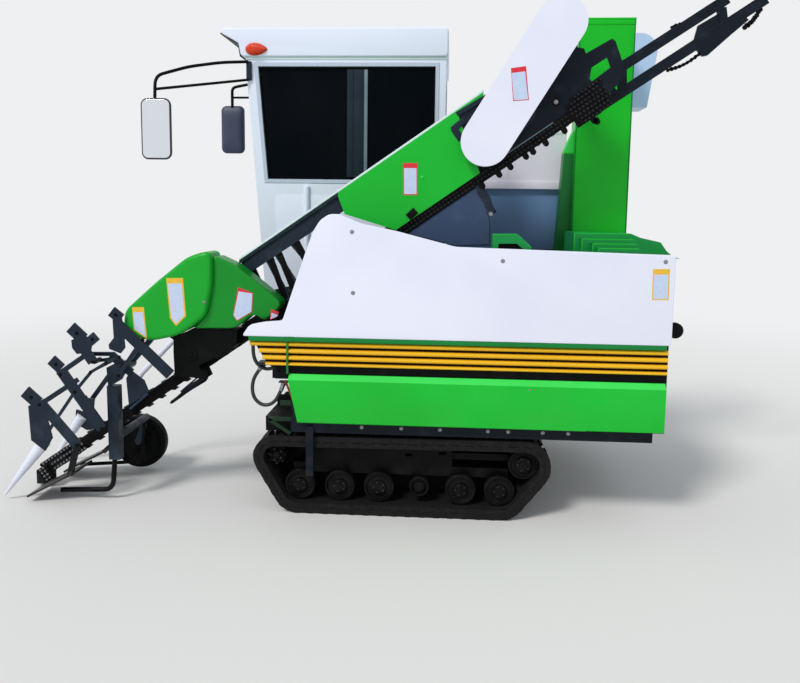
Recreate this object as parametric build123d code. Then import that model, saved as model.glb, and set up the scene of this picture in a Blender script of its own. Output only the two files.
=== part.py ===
from build123d import *
from math import atan2, cos, degrees, hypot, pi, radians, sin, tan
import os

# Peanut harvester on two crawler tracks: self-propelled, half-feed, with a cab.
# Millimetres. +X is forward, +Y is the machine's left, +Z is up.
# The origin is on the ground, under the middle of the machine's outer box.

# Driving dimensions
BODY_FRONT = 700.0          # nose of the left side panel
BODY_REAR = -1795.0         # rear end of the side panels
SIDE = 1000.0               # outer face of the side panels, from the middle plane
PANEL = 40.0                # thickness of a pressed side panel with its turned edges
FLOOR_Z = 600.0             # underside of the lower side panels
GRILLE_Z = 880.0            # underside of the barred grille
WAIST_Z = 1106.0            # underside of the white side panels
DECK_Z = 1624.0             # top of the side panels behind the conveyor

# Crawler tracks
TRACK_INNER = 610.0
TRACK_OUTER = 930.0
BELT = 28.0                 # rubber between the wheels and the lugs
LUG = 37.0                  # height of a lug
LUG_COUNT = 46
ROLLER_R = 96.0
ROLLER_Z = 163.0
ROLLER_X = (379.0, 131.0, -112.0, -612.0, -850.0)
CARRIER_X, CARRIER_R = -360.0, 62.0
SPROCKET_X, SPROCKET_Z, SPROCKET_R = 525.0, 350.0, 68.0
IDLER_X, IDLER_Z, IDLER_R = -990.0, 335.0, 95.0
AXLE_R = 20.0

# Cab
CAB_NEAR = 50.0             # outer face of the cab's left wall
CAB_FAR = -980.0            # outer face of the cab's right wall
CAB_REAR = -470.0
CAB_FLOOR = 1100.0
CAB_EAVES = 2892.0          # underside of the roof
ROOF_TOP = 3085.0
CAB_FRONT_LOW = 776.0       # front edge at the floor
CAB_FRONT_HIGH = 916.0      # front edge at the eaves
WALL = 40.0
GLASS = 6.0
PIPE_SIDES = 8              # flat sides of a bent steel tube
HOSE_SIDES = 6              # flat sides of a hose

# Conveyor: one straight line from the digging head up to the rear
LINE_X, LINE_Z = 2125.0, 130.0      # foot of the line
LINE_ANGLE = 34.6
LINE_END = 4330.0                   # distance along the line to the upper sprocket
RAIL_START = 1150.0                 # where the side rails begin, above the digging head
CHAIN_Y0, CHAIN_Y1 = 540.0, 600.0
PIVOT_X, PIVOT_Z = -1260.0, 2700.0  # axis on which the whole conveyor and head swing

# Lift cylinder: foot on the main frame, eye on the conveyor
RAM_FOOT = (-330.0, 780.0)
RAM_EYE = (300.0, 1206.0)
RAM_Y = 570.0

# Digging head
ROLLED_RIM = 12.0           # turned rim of the green front cover
NEAR_Y = 950.0              # outer face of the left divider unit
FAR_Y = 180.0               # middle of the right divider unit
WHEEL_X, WHEEL_Y, WHEEL_Z, WHEEL_R = 1640.0, 250.0, 215.0, 188.0

CA = cos(radians(LINE_ANGLE))
SA = sin(radians(LINE_ANGLE))


def slab(x0, x1, y0, y1, z0, z1):
    """Block between two corners."""
    return Pos((x0 + x1) / 2, (y0 + y1) / 2, (z0 + z1) / 2) * Box(x1 - x0, y1 - y0, z1 - z0)


def profile(points, y0, y1, radius=0.0):
    """Plate with its outline in the side view, as (x, z) points, from y0 to y1."""
    plane = Plane((0, y1, 0), x_dir=(1, 0, 0), z_dir=(0, -1, 0))
    face = make_face(Polyline(*points, close=True))
    if radius:
        face = fillet(face.vertices(), radius)
    return extrude(plane * face, amount=y1 - y0)


def bar(x0, z0, x1, z1, width, y0, y1):
    """Flat bar in the side view between the middles of its two ends."""
    length = hypot(x1 - x0, z1 - z0)
    dx = -(z1 - z0) / length * width / 2
    dz = (x1 - x0) / length * width / 2
    outline = [(x0 + dx, z0 + dz), (x1 + dx, z1 + dz), (x1 - dx, z1 - dz), (x0 - dx, z0 - dz)]
    return profile(outline, y0, y1)


def disc(x, z, radius, y0, y1):
    """Cylinder whose axis runs along Y."""
    return Pos(x, (y0 + y1) / 2, z) * Rot(90, 0, 0) * Cylinder(radius, y1 - y0)


def rod(p, q, radius):
    """Round rod between two points."""
    span = Vector(*q) - Vector(*p)
    plane = Plane(Vector(*p), z_dir=span)
    return plane * Cylinder(radius, span.length, align=(Align.CENTER, Align.CENTER, Align.MIN))


def prism(x, z, radius, y0, y1, sides):
    """Many-sided bar whose axis runs along Y."""
    plane = Plane((x, y1, z), x_dir=(1, 0, 0), z_dir=(0, -1, 0))
    return extrude(plane * RegularPolygon(radius, sides), amount=y1 - y0)


def strut(p, q, radius):
    """Twelve-sided bar between two points."""
    span = Vector(*q) - Vector(*p)
    return extrude(Plane(Vector(*p), z_dir=span) * RegularPolygon(radius, 12), amount=span.length)


def hose(points, bends, radius):
    """Six-sided hose along straight runs that join in arcs."""
    path = FilletPolyline(*points, radius=bends)
    start = Plane(path @ 0, z_dir=path % 0)
    return sweep(start * RegularPolygon(radius, HOSE_SIDES), path=path)


def pipe(points, bends, radius):
    """Eight-sided steel tube whose bends are cut into short mitred lengths."""
    path = FilletPolyline(*points, radius=bends)
    stops = [path @ 0]
    for edge in path.edges():
        steps = 1 if edge.geom_type == GeomType.LINE else 3
        stops += [edge @ (k / steps) for k in range(1, steps + 1)]
    line = Polyline(*stops)
    start = Plane(line @ 0, z_dir=line % 0)
    return sweep(start * RegularPolygon(radius, PIPE_SIDES), path=line, transition=Transition.RIGHT)


def on_line(s, n):
    """Side-view point at distance s up the conveyor line and n above it."""
    return (LINE_X - s * CA + n * SA, LINE_Z + s * SA + n * CA)


def along(s0, s1, n0, n1, y0, y1):
    """Bar that lies along the conveyor line."""
    corners = [on_line(s0, n0), on_line(s1, n0), on_line(s1, n1), on_line(s0, n1)]
    return profile(corners, y0, y1)


def mirrored(shape):
    """The same piece on the right-hand side."""
    return mirror(shape, about=Plane.XZ)


def joined(shapes):
    """Several touching pieces fused into one solid."""
    return shapes[0].fuse(*shapes[1:])


# Running gear


def belt_outline(extra):
    """Closed outline around the four corner wheels, moved out by extra."""
    wheels = (
        # x, z, radius
        (SPROCKET_X, SPROCKET_Z, SPROCKET_R),
        (ROLLER_X[0], ROLLER_Z, ROLLER_R + 2),
        (ROLLER_X[-1], ROLLER_Z, ROLLER_R + 2),
        (IDLER_X, IDLER_Z, IDLER_R),
    )
    circles = [Pos(x, z) * Edge.make_circle(radius + extra) for x, z, radius in wheels]
    return make_hull(circles)


def track():
    """Rubber belt with two staggered rows of lugs in its outline."""
    ring = belt_outline(BELT) - belt_outline(0)
    wire = belt_outline(BELT).face().outer_wire()
    middle = (TRACK_INNER + TRACK_OUTER) / 2
    rows = ((TRACK_INNER, middle, 0.0), (middle, TRACK_OUTER, 0.5))
    halves = []
    for y0, y1, phase in rows:
        lugs = []
        for i in range(LUG_COUNT):
            place = wire.location_at((i + phase) / LUG_COUNT)
            turn = degrees(atan2((wire % ((i + phase) / LUG_COUNT)).Y, (wire % ((i + phase) / LUG_COUNT)).X))
            lugs.append(Pos(place.position.X, place.position.Y) * Rot(0, 0, turn) * Rectangle(34, 2 * LUG))
        outline = ring + lugs - belt_outline(0)
        plane = Plane((0, y1, 0), x_dir=(1, 0, 0), z_dir=(0, -1, 0))
        halves.append(extrude(plane * outline, amount=y1 - y0))
    return halves[0] + halves[1]


def roller(x, z, radius, hub):
    """Two wheels on one axle, either side of the frame's bearing."""
    y0 = TRACK_INNER + 60
    y1 = TRACK_OUTER - 60
    return joined([
        prism(x, z, AXLE_R, y0 - 12, y1, 6),
        prism(x, z, radius, y0, y0 + 60, 16),
        prism(x, z, radius, y1 - 60, y1, 16),
        prism(x, z, hub, y1, y1 + 8, 8),
    ])


def track_wheels():
    """Five carrying rollers, one small roller, the rear idler and the driving sprocket."""
    wheels = [roller(x, ROLLER_Z, ROLLER_R - 2, 45) for x in ROLLER_X]
    wheels.append(roller(CARRIER_X, ROLLER_Z + 10, CARRIER_R, 35))
    wheels.append(roller(IDLER_X, IDLER_Z, IDLER_R - 2, 50))
    wheels.append(drive_sprocket())
    return Compound(children=wheels)


def drive_sprocket():
    """Toothed driving wheel at the front of a track."""
    teeth = [Rot(0, 0, i * 45) * Pos(SPROCKET_R - 18, 0) * Rectangle(30, 20) for i in range(8)]
    outline = RegularPolygon(SPROCKET_R - 14, 16) + teeth
    plane = Plane((SPROCKET_X, TRACK_OUTER - 60, SPROCKET_Z), x_dir=(1, 0, 0), z_dir=(0, -1, 0))
    shaft = prism(SPROCKET_X, SPROCKET_Z, 34, 560, TRACK_OUTER - 45, 12)
    return extrude(plane * outline, amount=200) + shaft


def track_frame():
    """Beam inside the loop that carries the rollers, with its legs to the main frame."""
    y0, y1 = 735.0, 805.0
    beam = joined([
        final_drive(),
        profile([(-560, 270), (-560, 400), (-520, 408), (290, 408), (310, 380), (310, 270)], y0, y1),
        slab(-905, 430, y0, y1, 225, 285),
        slab(300, 346, y0, y1, 270, 395),
        slab(-1010, -550, y0 + 15, y1 - 15, 330, 370),
        slab(-60, 40, 440, 750, 300, 360),
        slab(-500, -400, 440, 750, 300, 360),
        slab(-60, 40, 440, 500, 300, 560),
        slab(-500, -400, 440, 500, 300, 560),
    ])
    wheels = [(x, ROLLER_Z) for x in ROLLER_X] + [(CARRIER_X, ROLLER_Z + 10), (IDLER_X, IDLER_Z)]
    for x, z in wheels:
        bearing = prism(x, z, 36, y0 + 3, y1 - 3, 8)
        beam = beam + bearing + slab(x - 22, x + 22, y0 + 3, y1 - 3, z, max(z + 70, 230))
        beam = beam - prism(x, z, AXLE_R + 0.4, y0 - 5, y1 + 5, 6)
    slots = (
        # x, z, length
        (-290, 352, 46),
        (-500, 368, 46),
    )
    for x, z, length in slots:
        beam = beam - slab(x - length / 2, x + length / 2, y0 - 5, y1 + 5, z - 9, z + 9)
    return beam


def outer_post():
    """Flat leg from the sill down beside the track."""
    return slab(280, 325, TRACK_OUTER + 8, TRACK_OUTER + 30, 250, 560)


def tow_clevis():
    """Two ears at the rear with a pin hole through both."""
    ears = [slab(-1845, -1700, -45, 45, z, z + 16) for z in (572, 612)]
    ears = [ear - Pos(-1815, 0, 600) * Cylinder(13, 200) for ear in ears]
    return ears


def ram_foot():
    """Pin and lugs for the lift cylinder on the main frame."""
    x, z = RAM_FOOT
    lugs = [profile([(x - 70, 600), (x - 34, z + 30), (x + 34, z + 30), (x + 60, 600)], y, y + 12)
            for y in (RAM_Y - 56, RAM_Y + 44)]
    beam = slab(-480, -240, RAM_Y - 60, RAM_Y + 60, 560, 620)
    return lugs + [disc(x, z, 20, RAM_Y - 56, RAM_Y + 56), beam]


def entry_step():
    """Folded step behind the opening in the right-hand lower panel."""
    tread = slab(60, 440, -955, -828, 600, 612)
    riser = slab(60, 440, -840, -828, 600, 800)
    return [tread, riser]


def main_frame():
    """Two rails, cross members and the outer sills that carry the panels."""
    rails = [slab(BODY_REAR + 35, 560, y - 40, y + 40, 560, 640) for y in (-460, 460)]
    crosses = [slab(x - 30, x + 30, -940, 940, 560, 640) for x in (370, 0, -450, -1000, -1700)]
    crosses[0] = slab(340, 400, -820, 940, 560, 640)
    sills = []
    for side in (-1, 1):
        y0, y1 = sorted((side * 880, side * 940))
        sills.append(slab(-1730, 420, y0, y1, 515, 600))
    posts = [outer_post(), mirrored(outer_post())]
    return joined(rails + crosses + sills + posts + tow_clevis() + ram_foot() + entry_step())


def final_drive():
    """Gear case above and beside a driving sprocket."""
    case = slab(425, 590, 700, 870, 500, 590)
    leg = slab(455, 590, 500, 555, 290, 640)
    tie = slab(455, 590, 500, 720, 520, 590)
    return joined([case, leg, tie])


# Side panels


def side_panel_left():
    """White panel with its raised front corner and low nose."""
    outline = [
        (BODY_FRONT, WAIST_Z), (654, 1173), (559, 1193), (457, 1201),
        (314, 1621), (273, 1731), (232, 1795), (180, 1830), (121, 1831),
        (0, 1781), (-209, 1738), (-554, 1652), (BODY_REAR, DECK_Z), (BODY_REAR, WAIST_Z),
    ]
    return profile(outline, SIDE - PANEL, SIDE)


def side_panel_right():
    """White panel behind the cab on the right."""
    return slab(BODY_REAR, CAB_REAR - 20, -SIDE, -SIDE + PANEL, WAIST_Z, DECK_Z)


def lower_panel(side):
    """Green panel with a turned top edge, and with the step's opening on the right."""
    outline = [(424, GRILLE_Z), (424, 845), (368, FLOOR_Z), (-1780, 590), (-1780, GRILLE_Z)]
    y0, y1 = sorted((side * (SIDE - PANEL), side * SIDE))
    panel = profile(outline, y0, y1)
    if side < 0:
        panel = panel - slab(70, 360, y0 - 5, y1 + 5, 640, 800)
    return panel


def rear_skirt():
    """Dark plate under the green panel at the rear."""
    return slab(-1777, -1316, 945, 985, 501, 600)


def grille(side):
    """Four bars, stepped back at the front, on a dark backing plate."""
    y0, y1 = sorted((side * 943, side * 955))
    y2, y3 = sorted((side * 950, side * 987))
    backing = slab(-1790, 560, y0, y1, GRILLE_Z + 4, WAIST_Z - 12)
    rows = (
        # middle height, front end
        (1053, 655),
        (1014, 600),
        (975, 580),
        (936, 562),
    )
    bars = [slab(-1790, front, y2, y3, z - 14, z + 14) for z, front in rows]
    posts = [slab(x, x + 14, y2, y3, 925, 1065) for x in (-1770, -1100, -400)]
    return joined([backing, *bars, *posts])


def body_deck():
    """Sheet deck behind the cab and under the conveyor."""
    slope = [(-640, 1500), (-640, 1545), (420, 820), (420, 650), (400, 650), (400, 808)]
    return joined([
        slab(-1750, -620, -955, 955, 1570, 1600),
        slab(-650, -620, -955, 955, 1120, 1575),
        profile(slope, 90, 935) - slab(-260, 220, RAM_Y - 80, RAM_Y + 80, 700, 1500),
    ])


def rear_panel():
    """Rear wall with the outlet for vines and soil."""
    wall = slab(BODY_REAR, -1760, -940, 940, 645, 1600)
    return wall - slab(BODY_REAR - 5, -1750, -700, 700, 760, 1060)


HOOD_STEPS = [
    # y0, y1, front, top
    (300, 710, -1265, 1736), (700, 780, -1300, 1704), (770, 860, -1350, 1680), (850, 930, -1370, 1656),
]


def rear_hood():
    """Stepped green cover over the stripping drums."""
    hood = []
    for y0, y1, front, top in HOOD_STEPS:
        outline = [
            (front, 1602), (front, top), (-1602, top), (-1660, top - 24), (-1780, top - 50), (-1840, 1602),
        ]
        hood.append(profile(outline, y0, y1))
    arch = profile([(-765, 1600), (-765, 1726), (-908, 1728), (-990, 1656), (-990, 1600)], 760, 930)
    arch = arch - profile([(-800, 1590), (-800, 1672), (-905, 1674), (-946, 1640), (-946, 1590)], 755, 935)
    return Compound(children=[joined(hood), arch])


def engine_block():
    """Diesel engine as one plain block."""
    return slab(-1150, -520, -350, 350, 645, 1100)


# Tank and elevator


def tank():
    """White nut tank behind the cab."""
    shell = slab(-1293, -520, -950, CAB_NEAR, 2065, 2400)
    return shell - slab(-1275, -538, -932, CAB_NEAR - 18, 2083, 2450)


def tank_base():
    """Grey tapering hopper and its rim under the tank."""
    rim = slab(-1295, -520, -952, CAB_NEAR + 2, 2017, 2064)
    outline = [(-1250, 1602), (-1290, 2017), (-525, 2017), (-560, 1602)]
    return rim + profile(outline, -900, CAB_NEAR - 30)


def elevator_tower():
    """Green bucket elevator case."""
    case = profile([(-1323, 1602), (-1323, 3100), (-1679, 3100), (-1675, 1602)], 60, 230)
    boot = profile([(-1228, 1602), (-1264, 2254), (-1330, 2254), (-1330, 1602)], 60, 170)
    return joined([case, boot, pivot_post()])


def elevator_head():
    """White rounded outlet behind the elevator."""
    face = make_face(Polyline((-1600, 2592), (-1600, 3092), (-1938, 3092), (-1865, 2592), close=True))
    face = fillet(face.vertices().sort_by(Axis.X)[0], 120)
    spout = extrude(Plane((0, -150, 0), x_dir=(1, 0, 0), z_dir=(0, -1, 0)) * face, amount=240)
    return joined([spout, slab(-1679, -1600, -160, 60, 2640, 3060)])


def pivot_post():
    """Bracket on the elevator case that carries the conveyor's pivot shaft."""
    outline = [(-1330, 2560), (-1230, 2640), (-1205, 2745), (-1290, 2790), (-1480, 2790), (-1480, 2560)]
    plate = profile(outline, 228, 262)
    return plate + disc(PIVOT_X, PIVOT_Z, 24, 240, 660)


# Cab


def cab_front_x(z):
    """Front edge of the cab's side walls at a height."""
    share = (z - CAB_FLOOR) / (CAB_EAVES - CAB_FLOOR)
    return CAB_FRONT_LOW + share * (CAB_FRONT_HIGH - CAB_FRONT_LOW)


def cab_side(y0, y1, low):
    """Side wall with its window cut."""
    outline = [
        (cab_front_x(low) - 2, low), (CAB_FRONT_HIGH - 2, CAB_EAVES - 1),
        (CAB_REAR, CAB_EAVES - 1), (CAB_REAR, low),
    ]
    return profile(outline, y0, y1)


def window_hole(y0, y1):
    """Side window with corners that follow the leaning front post."""
    return profile([(762, 2063), (826, 2830), (-399, 2830), (-399, 2063)], y0, y1)


def cab_left_wall():
    return cab_side(CAB_NEAR - WALL, CAB_NEAR, CAB_FLOOR) - window_hole(CAB_NEAR - WALL - 5, CAB_NEAR + 5)


def cab_left_window():
    """Two sliding panes in their frame."""
    front = profile([(752, 2071), (160, 2071), (160, 2822), (814, 2822)], 22, 28)
    rear = slab(-391, 150, 32, 38, 2071, 2822)
    middle = slab(150, 160, 22, 38, 2071, 2822)
    return joined([front, middle, rear])


DOOR_FRONT, DOOR_REAR = 640.0, -250.0


HINGE_X, HINGE_Y = DOOR_FRONT, CAB_FAR - 12
HINGE_Z = (1350.0, 2600.0)


def cab_right_wall():
    """Right wall with its doorway, the door's two hinge pins and a grab rail."""
    wall = cab_side(CAB_FAR, CAB_FAR + WALL, CAB_FLOOR)
    wall = wall - slab(DOOR_REAR, DOOR_FRONT, CAB_FAR - 5, CAB_FAR + WALL + 5, 1130, 2800)
    pieces = [wall]
    for z in HINGE_Z:
        pieces.append(slab(HINGE_X - 6, HINGE_X + 60, CAB_FAR - 22, CAB_FAR - 4, z - 34, z - 4))
        pieces.append(slab(HINGE_X + 8, HINGE_X + 60, CAB_FAR - 22, CAB_FAR, z - 34, z - 4))
        pieces.append(Pos(HINGE_X, HINGE_Y, z + 10) * Cylinder(6, 60))
    rail_y = CAB_FAR - 34
    pieces.append(pipe([
        (712, CAB_FAR + 5, 1500), (712, rail_y, 1500), (712, rail_y, 2100), (712, CAB_FAR + 5, 2100),
    ], [22, 22], 11))
    return joined(pieces)


def cab_door():
    """Right-hand door with its window cut, its handle and two hinge knuckles."""
    door = slab(DOOR_REAR + 8, DOOR_FRONT - 8, CAB_FAR, CAB_FAR + WALL, 1138, 2792)
    door = door - slab(DOOR_REAR + 90, DOOR_FRONT - 90, CAB_FAR - 5, CAB_FAR + WALL + 5, 1900, 2710)
    pieces = [door, slab(DOOR_REAR + 40, DOOR_REAR + 70, CAB_FAR - 30, CAB_FAR + 5, 1740, 1860)]
    for z in HINGE_Z:
        pieces.append(slab(HINGE_X - 80, HINGE_X - 6, CAB_FAR - 10, CAB_FAR, z, z + 36))
        pieces.append(Pos(HINGE_X, HINGE_Y, z + 18) * Cylinder(11.5, 36))
    door = joined(pieces)
    return door - [Pos(HINGE_X, HINGE_Y, z) * Cylinder(6.5, 100) for z in HINGE_Z]


def cab_door_glass():
    return slab(DOOR_REAR + 92, DOOR_FRONT - 92, CAB_FAR + 17, CAB_FAR + 17 + GLASS, 1902, 2708)


def cab_front():
    """Front wall with the windscreen opening."""
    outline = [
        (cab_front_x(CAB_FLOOR), CAB_FLOOR), (CAB_FRONT_HIGH, CAB_EAVES - 1),
        (CAB_FRONT_HIGH - WALL, CAB_EAVES - 1), (cab_front_x(CAB_FLOOR) - WALL, CAB_FLOOR),
    ]
    wall = profile(outline, CAB_FAR + WALL + 1, CAB_NEAR - WALL - 1)
    low, high = 1700.0, 2830.0
    hole = [
        (cab_front_x(low) + 10, low), (cab_front_x(high) + 10, high),
        (cab_front_x(high) - WALL - 10, high), (cab_front_x(low) - WALL - 10, low),
    ]
    return wall - profile(hole, CAB_FAR + 90, CAB_NEAR - 90)


def cab_glass():
    """Windscreen, sliding left window and rear window."""
    return Compound(children=[cab_windscreen(), cab_left_window(), cab_rear_glass()])


def cab_windscreen():
    low, high = 1702.0, 2828.0
    outline = [
        (cab_front_x(low) - 16, low), (cab_front_x(high) - 16, high),
        (cab_front_x(high) - 22, high), (cab_front_x(low) - 22, low),
    ]
    return profile(outline, CAB_FAR + 92, CAB_NEAR - 92)


def cab_rear():
    """Rear wall with its window."""
    wall = slab(CAB_REAR, CAB_REAR + WALL, CAB_FAR + WALL + 1, CAB_NEAR - WALL - 1, CAB_FLOOR, CAB_EAVES - 1)
    return wall - slab(CAB_REAR - 5, CAB_REAR + WALL + 5, CAB_FAR + 160, CAB_NEAR - 160, 2200, 2800)


def cab_rear_glass():
    return slab(CAB_REAR + 17, CAB_REAR + 17 + GLASS, CAB_FAR + 162, CAB_NEAR - 162, 2202, 2798)


def cab_roof():
    """Roof with a visor over the windscreen."""
    outline = [
        (1085, 3045), (1078, ROOF_TOP), (-482, ROOF_TOP), (-482, CAB_EAVES),
        (944, CAB_EAVES), (960, 2980),
    ]
    return profile(outline, CAB_FAR - 20, CAB_NEAR + 20)


def cab_floor():
    """Cab floor on its box-shaped platform."""
    plate = slab(CAB_REAR, CAB_FRONT_LOW - 2, -938, CAB_NEAR, 1060, CAB_FLOOR)
    front = slab(700, 740, -938, CAB_NEAR, 645, 1062)
    legs = [slab(x, x + 60, y, y + 60, 642, 1062) for x in (-440, 560) for y in (-930, CAB_NEAR - 120)]
    return joined([plate, front] + legs + [slab(540, 720, -938, CAB_NEAR, 642, 690)])


def seat():
    """Operator's seat on its box."""
    y = (CAB_NEAR + CAB_FAR) / 2
    base = slab(-260, 120, y - 200, y + 200, CAB_FLOOR, 1480)
    cushion = slab(-280, 200, y - 240, y + 240, 1480, 1600)
    back = profile([(-280, 1600), (-180, 1600), (-260, 2180), (-350, 2180)], y - 230, y + 230)
    return joined([base, cushion, back])


def control_console():
    """Desk with two steering levers beside the seat."""
    y = (CAB_NEAR + CAB_FAR) / 2
    desk = slab(420, 640, y - 300, y + 300, CAB_FLOOR, 1560)
    levers = [strut((500, y + dy, 1550), (470, y + dy, 1760), 11) for dy in (-120, 120)]
    knobs = [strut((470, y + dy, 1755), (466, y + dy, 1800), 22) for dy in (-120, 120)]
    return joined([desk] + levers + knobs)


def lamps():
    """Two amber lamps on the roof's front corners."""
    out = []
    for y in (CAB_NEAR + 21, CAB_FAR - 21):
        side = 1 if y > 0 else -1
        plane = Plane((830, y + side * 14, 2940), x_dir=(1, 0, 0), z_dir=(0, -side, 0))
        out.append(extrude(plane * SlotOverall(150, 78), amount=14))
    return Compound(children=out)


def mirror_left():
    """Mirror on a two-tube arm, out to the left and ahead of the post."""
    head = profile([(1290, 2165), (1290, 2555), (1490, 2555), (1490, 2165)], 430, 480, 40)
    arm = pipe([(880, 64, 2790), (1060, 126, 2765), (1395, 455, 2690), (1395, 455, 2540)], [60, 40], 12)
    stay = strut((880, 64, 2660), (1395, 455, 2620), 10)
    post = slab(855, 905, 51, 75, 2640, 2810)
    return joined([head, arm, stay, post])


def mirror_right():
    """Mirror ahead of the right-hand post."""
    head = profile([(1218, 2315), (1210, 2706), (1408, 2706), (1400, 2315)], -1030, -985, 36)
    corners = [(900, -994, 2880), (1180, -1005, 2876), (1310, -1008, 2850), (1310, -1008, 2690)]
    arm = pipe(corners, [60, 45], 12)
    post = slab(860, 910, -1004, -981, 2740, 2886)
    stay = strut((890, -990, 2770), (1310, -1008, 2770), 9)
    return joined([head, arm, stay, post])


# Conveyor and digging head


def conveyor_beam():
    """Guide bar inside the clamping chain, two side rails above the head, ties and tines."""
    core = along(60, LINE_END, -15.5, 15.5, 546, 594)
    shoe = profile([(2080, 16), (2080, 108), (2125, 150), (2198, 108), (2198, 16)], 604, 640)
    rails = [along(RAIL_START, LINE_END - 20, -10, 60, y, y + 34) for y in (470, 640)]
    rails.append(along(RAIL_START + 60, LINE_END - 160, -46, -8, 654, 674))
    ties = [along(s, s + 50, -11, 11, 480, 665) for s in (1200, 1900, 2700, 3500, 4050)]
    ends = [along(LINE_END - 40, LINE_END + 34, -44, 44, y, y + 34) for y in (470, 640)]
    foot = [along(-20, 130, -40, 30, y, y + 10) for y in (530, 604)]
    hubs = [prism(*on_line(60, 0), 11, 530, 614, 8), prism(*on_line(LINE_END, 0), 11, 480, 665, 8)]
    arm = along(4180, LINE_END - 20, 0, 250, 470, 486)
    eye_s = (LINE_X - RAM_EYE[0]) * CA + (RAM_EYE[1] - LINE_Z) * SA
    ears = [along(eye_s - 45, eye_s + 45, -190, 0, y, y + 14) for y in (490, 640)]
    ram_pin = disc(RAM_EYE[0], RAM_EYE[1], 16.5, 492, 650)
    beam = joined([core, shoe] + rails + ties + ends + foot + hubs + ears + [arm, ram_pin] + tines())
    return beam - disc(PIVOT_X, PIVOT_Z, 26, 460, 500)


def tines():
    """Spring tines that hold the vines up under the chain."""
    table = (
        # x0, z0, x1, z1, width
        (1026, 890, 1036, 762, 30),
        (1030, 777, 1192, 665, 34),
        (1186, 669, 1268, 596, 13),
        (1060, 795, 1196, 677, 10),
        (826, 1020, 939, 927, 34),
        (933, 932, 1014, 860, 13),
        (850, 1040, 947, 947, 10),
    )
    return [bar(x0, z0, x1, z1, width, 642, 660) for x0, z0, x1, z1, width in table]


def clamp_chain():
    """Chain loop with a leaning hook tooth on each carrying link."""
    ends = (on_line(60, 0), on_line(LINE_END, 0))
    loop = make_hull([Pos(x, z) * Edge.make_circle(28) for x, z in ends])
    inner = make_hull([Pos(x, z) * Edge.make_circle(16) for x, z in ends])
    wire = loop.face().outer_wire()
    tooth = Polygon((-16, 0), (12, 0), (22, 20), (12, 20), align=None)
    tooth = tooth + Polygon((16, 0), (-12, 0), (-22, -20), (-12, -20), align=None)
    teeth = []
    count = 84
    for i in range(count):
        point = wire @ (i / count)
        step = wire % (i / count)
        teeth.append(Pos(point.X, point.Y) * Rot(0, 0, degrees(atan2(step.Y, step.X))) * tooth)
    outline = loop + teeth - inner
    plane = Plane((0, CHAIN_Y1, 0), x_dir=(1, 0, 0), z_dir=(0, -1, 0))
    return extrude(plane * outline, amount=CHAIN_Y1 - CHAIN_Y0)


def chute_cover():
    """Green cover over the conveyor with its long top flange."""
    face = profile([(178, 1960), (128, 1830), (-187, 1737), (-690, 2086), (-542, 2449)], 706, 718)
    flange = profile([(787, 1515), (787, 1548), (-700, 2575), (-700, 2540)], 420, 718)
    return face + flange


def chute_rail():
    """Dark rail under the flange with hanging guide bars."""
    rail = bar(770, 1470, 130, 1895, 70, 690, 706)
    slats = (
        # top x, top z, foot x, foot z
        (745, 1480, 640, 1330),
        (620, 1560, 480, 1290),
        (570, 1600, 430, 1380),
        (470, 1660, 375, 1550),
    )
    bars = [bar(x0, z0, x1, z1, 34, 680, 695) for x0, z0, x1, z1 in slats]
    brace = bar(660, 1310, 430, 1370, 40, 675, 682)
    return joined([rail] + bars + [brace])


def drive_guard():
    """White round-ended cover of the conveyor's drive."""
    ends = [Pos(x, z) * Edge.make_circle(145) for x, z in ((-715, 2265), (-1136, 2947))]
    plane = Plane((0, 820, 0), x_dir=(1, 0, 0), z_dir=(0, -1, 0))
    studs = [prism(-665, 2300, 28, 702, 775, 8), prism(-1165, 2760, 20, 702, 775, 8)]
    return joined([extrude(plane * make_hull(ends), amount=50)] + studs)


def conveyor_plates():
    """Dark plates beside the conveyor: by the guard, at the pivot and beside the cab."""
    outline = [
        (-800, 2150), (-640, 2240), (-556, 2322), (-523, 2352), (-533, 2421), (-700, 2536),
        (-1020, 2540), (-1180, 2830), (-1235, 2905), (-1278, 2900), (-1233, 2851), (-1245, 2822),
        (-1282, 2815), (-1294, 2787), (-1442, 2872), (-1463, 2856), (-1510, 2733), (-1530, 2655),
        (-1445, 2564), (-1261, 2425),
    ]
    window = [(-1330, 2706), (-1418, 2764), (-1440, 2708), (-1347, 2636), (-1318, 2618)]
    plate = profile(outline, 690, 702) - profile(window, 685, 710)
    tube = disc(PIVOT_X, PIVOT_Z, 36, 486, 690) - disc(PIVOT_X, PIVOT_Z, 26, 480, 670)
    drop = along(LINE_END - 300, LINE_END - 64, 0, 150, 674, 690)
    skirt = profile([
        (-230, 1719), (-230, 1775), (-693, 2095), (-693, 2015), (-759, 1811), (-763, 1654), (-550, 1644),
    ], 674, 690)
    edge = bar(-688, 1990, -788, 1848, 26, 690, 704)
    return joined([plate, tube, drop, skirt, edge])


def rear_rails():
    """Two rails that lead the vines off at the rear."""
    upper = bar(-1472, 2692, -2110, 3112, 60, 606, 640)
    lower = bar(-1380, 2476, -2330, 3110, 62, 606, 640)
    links = [bar(-1530, 2570, -1522, 2710, 52, 606, 640), bar(-2100, 2950, -2080, 3060, 50, 606, 640)]
    plate = profile([(-1925, 2850), (-1950, 2960), (-2110, 3056), (-2120, 2990)], 612, 630)
    outline = [(-1930, 2840), (-1986, 2783), (-2014, 2789), (-2140, 2905), (-2237, 2990), (-2200, 3020)]
    belt = profile(outline, 614, 640)
    return joined([upper, lower, plate, belt] + links)


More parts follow.
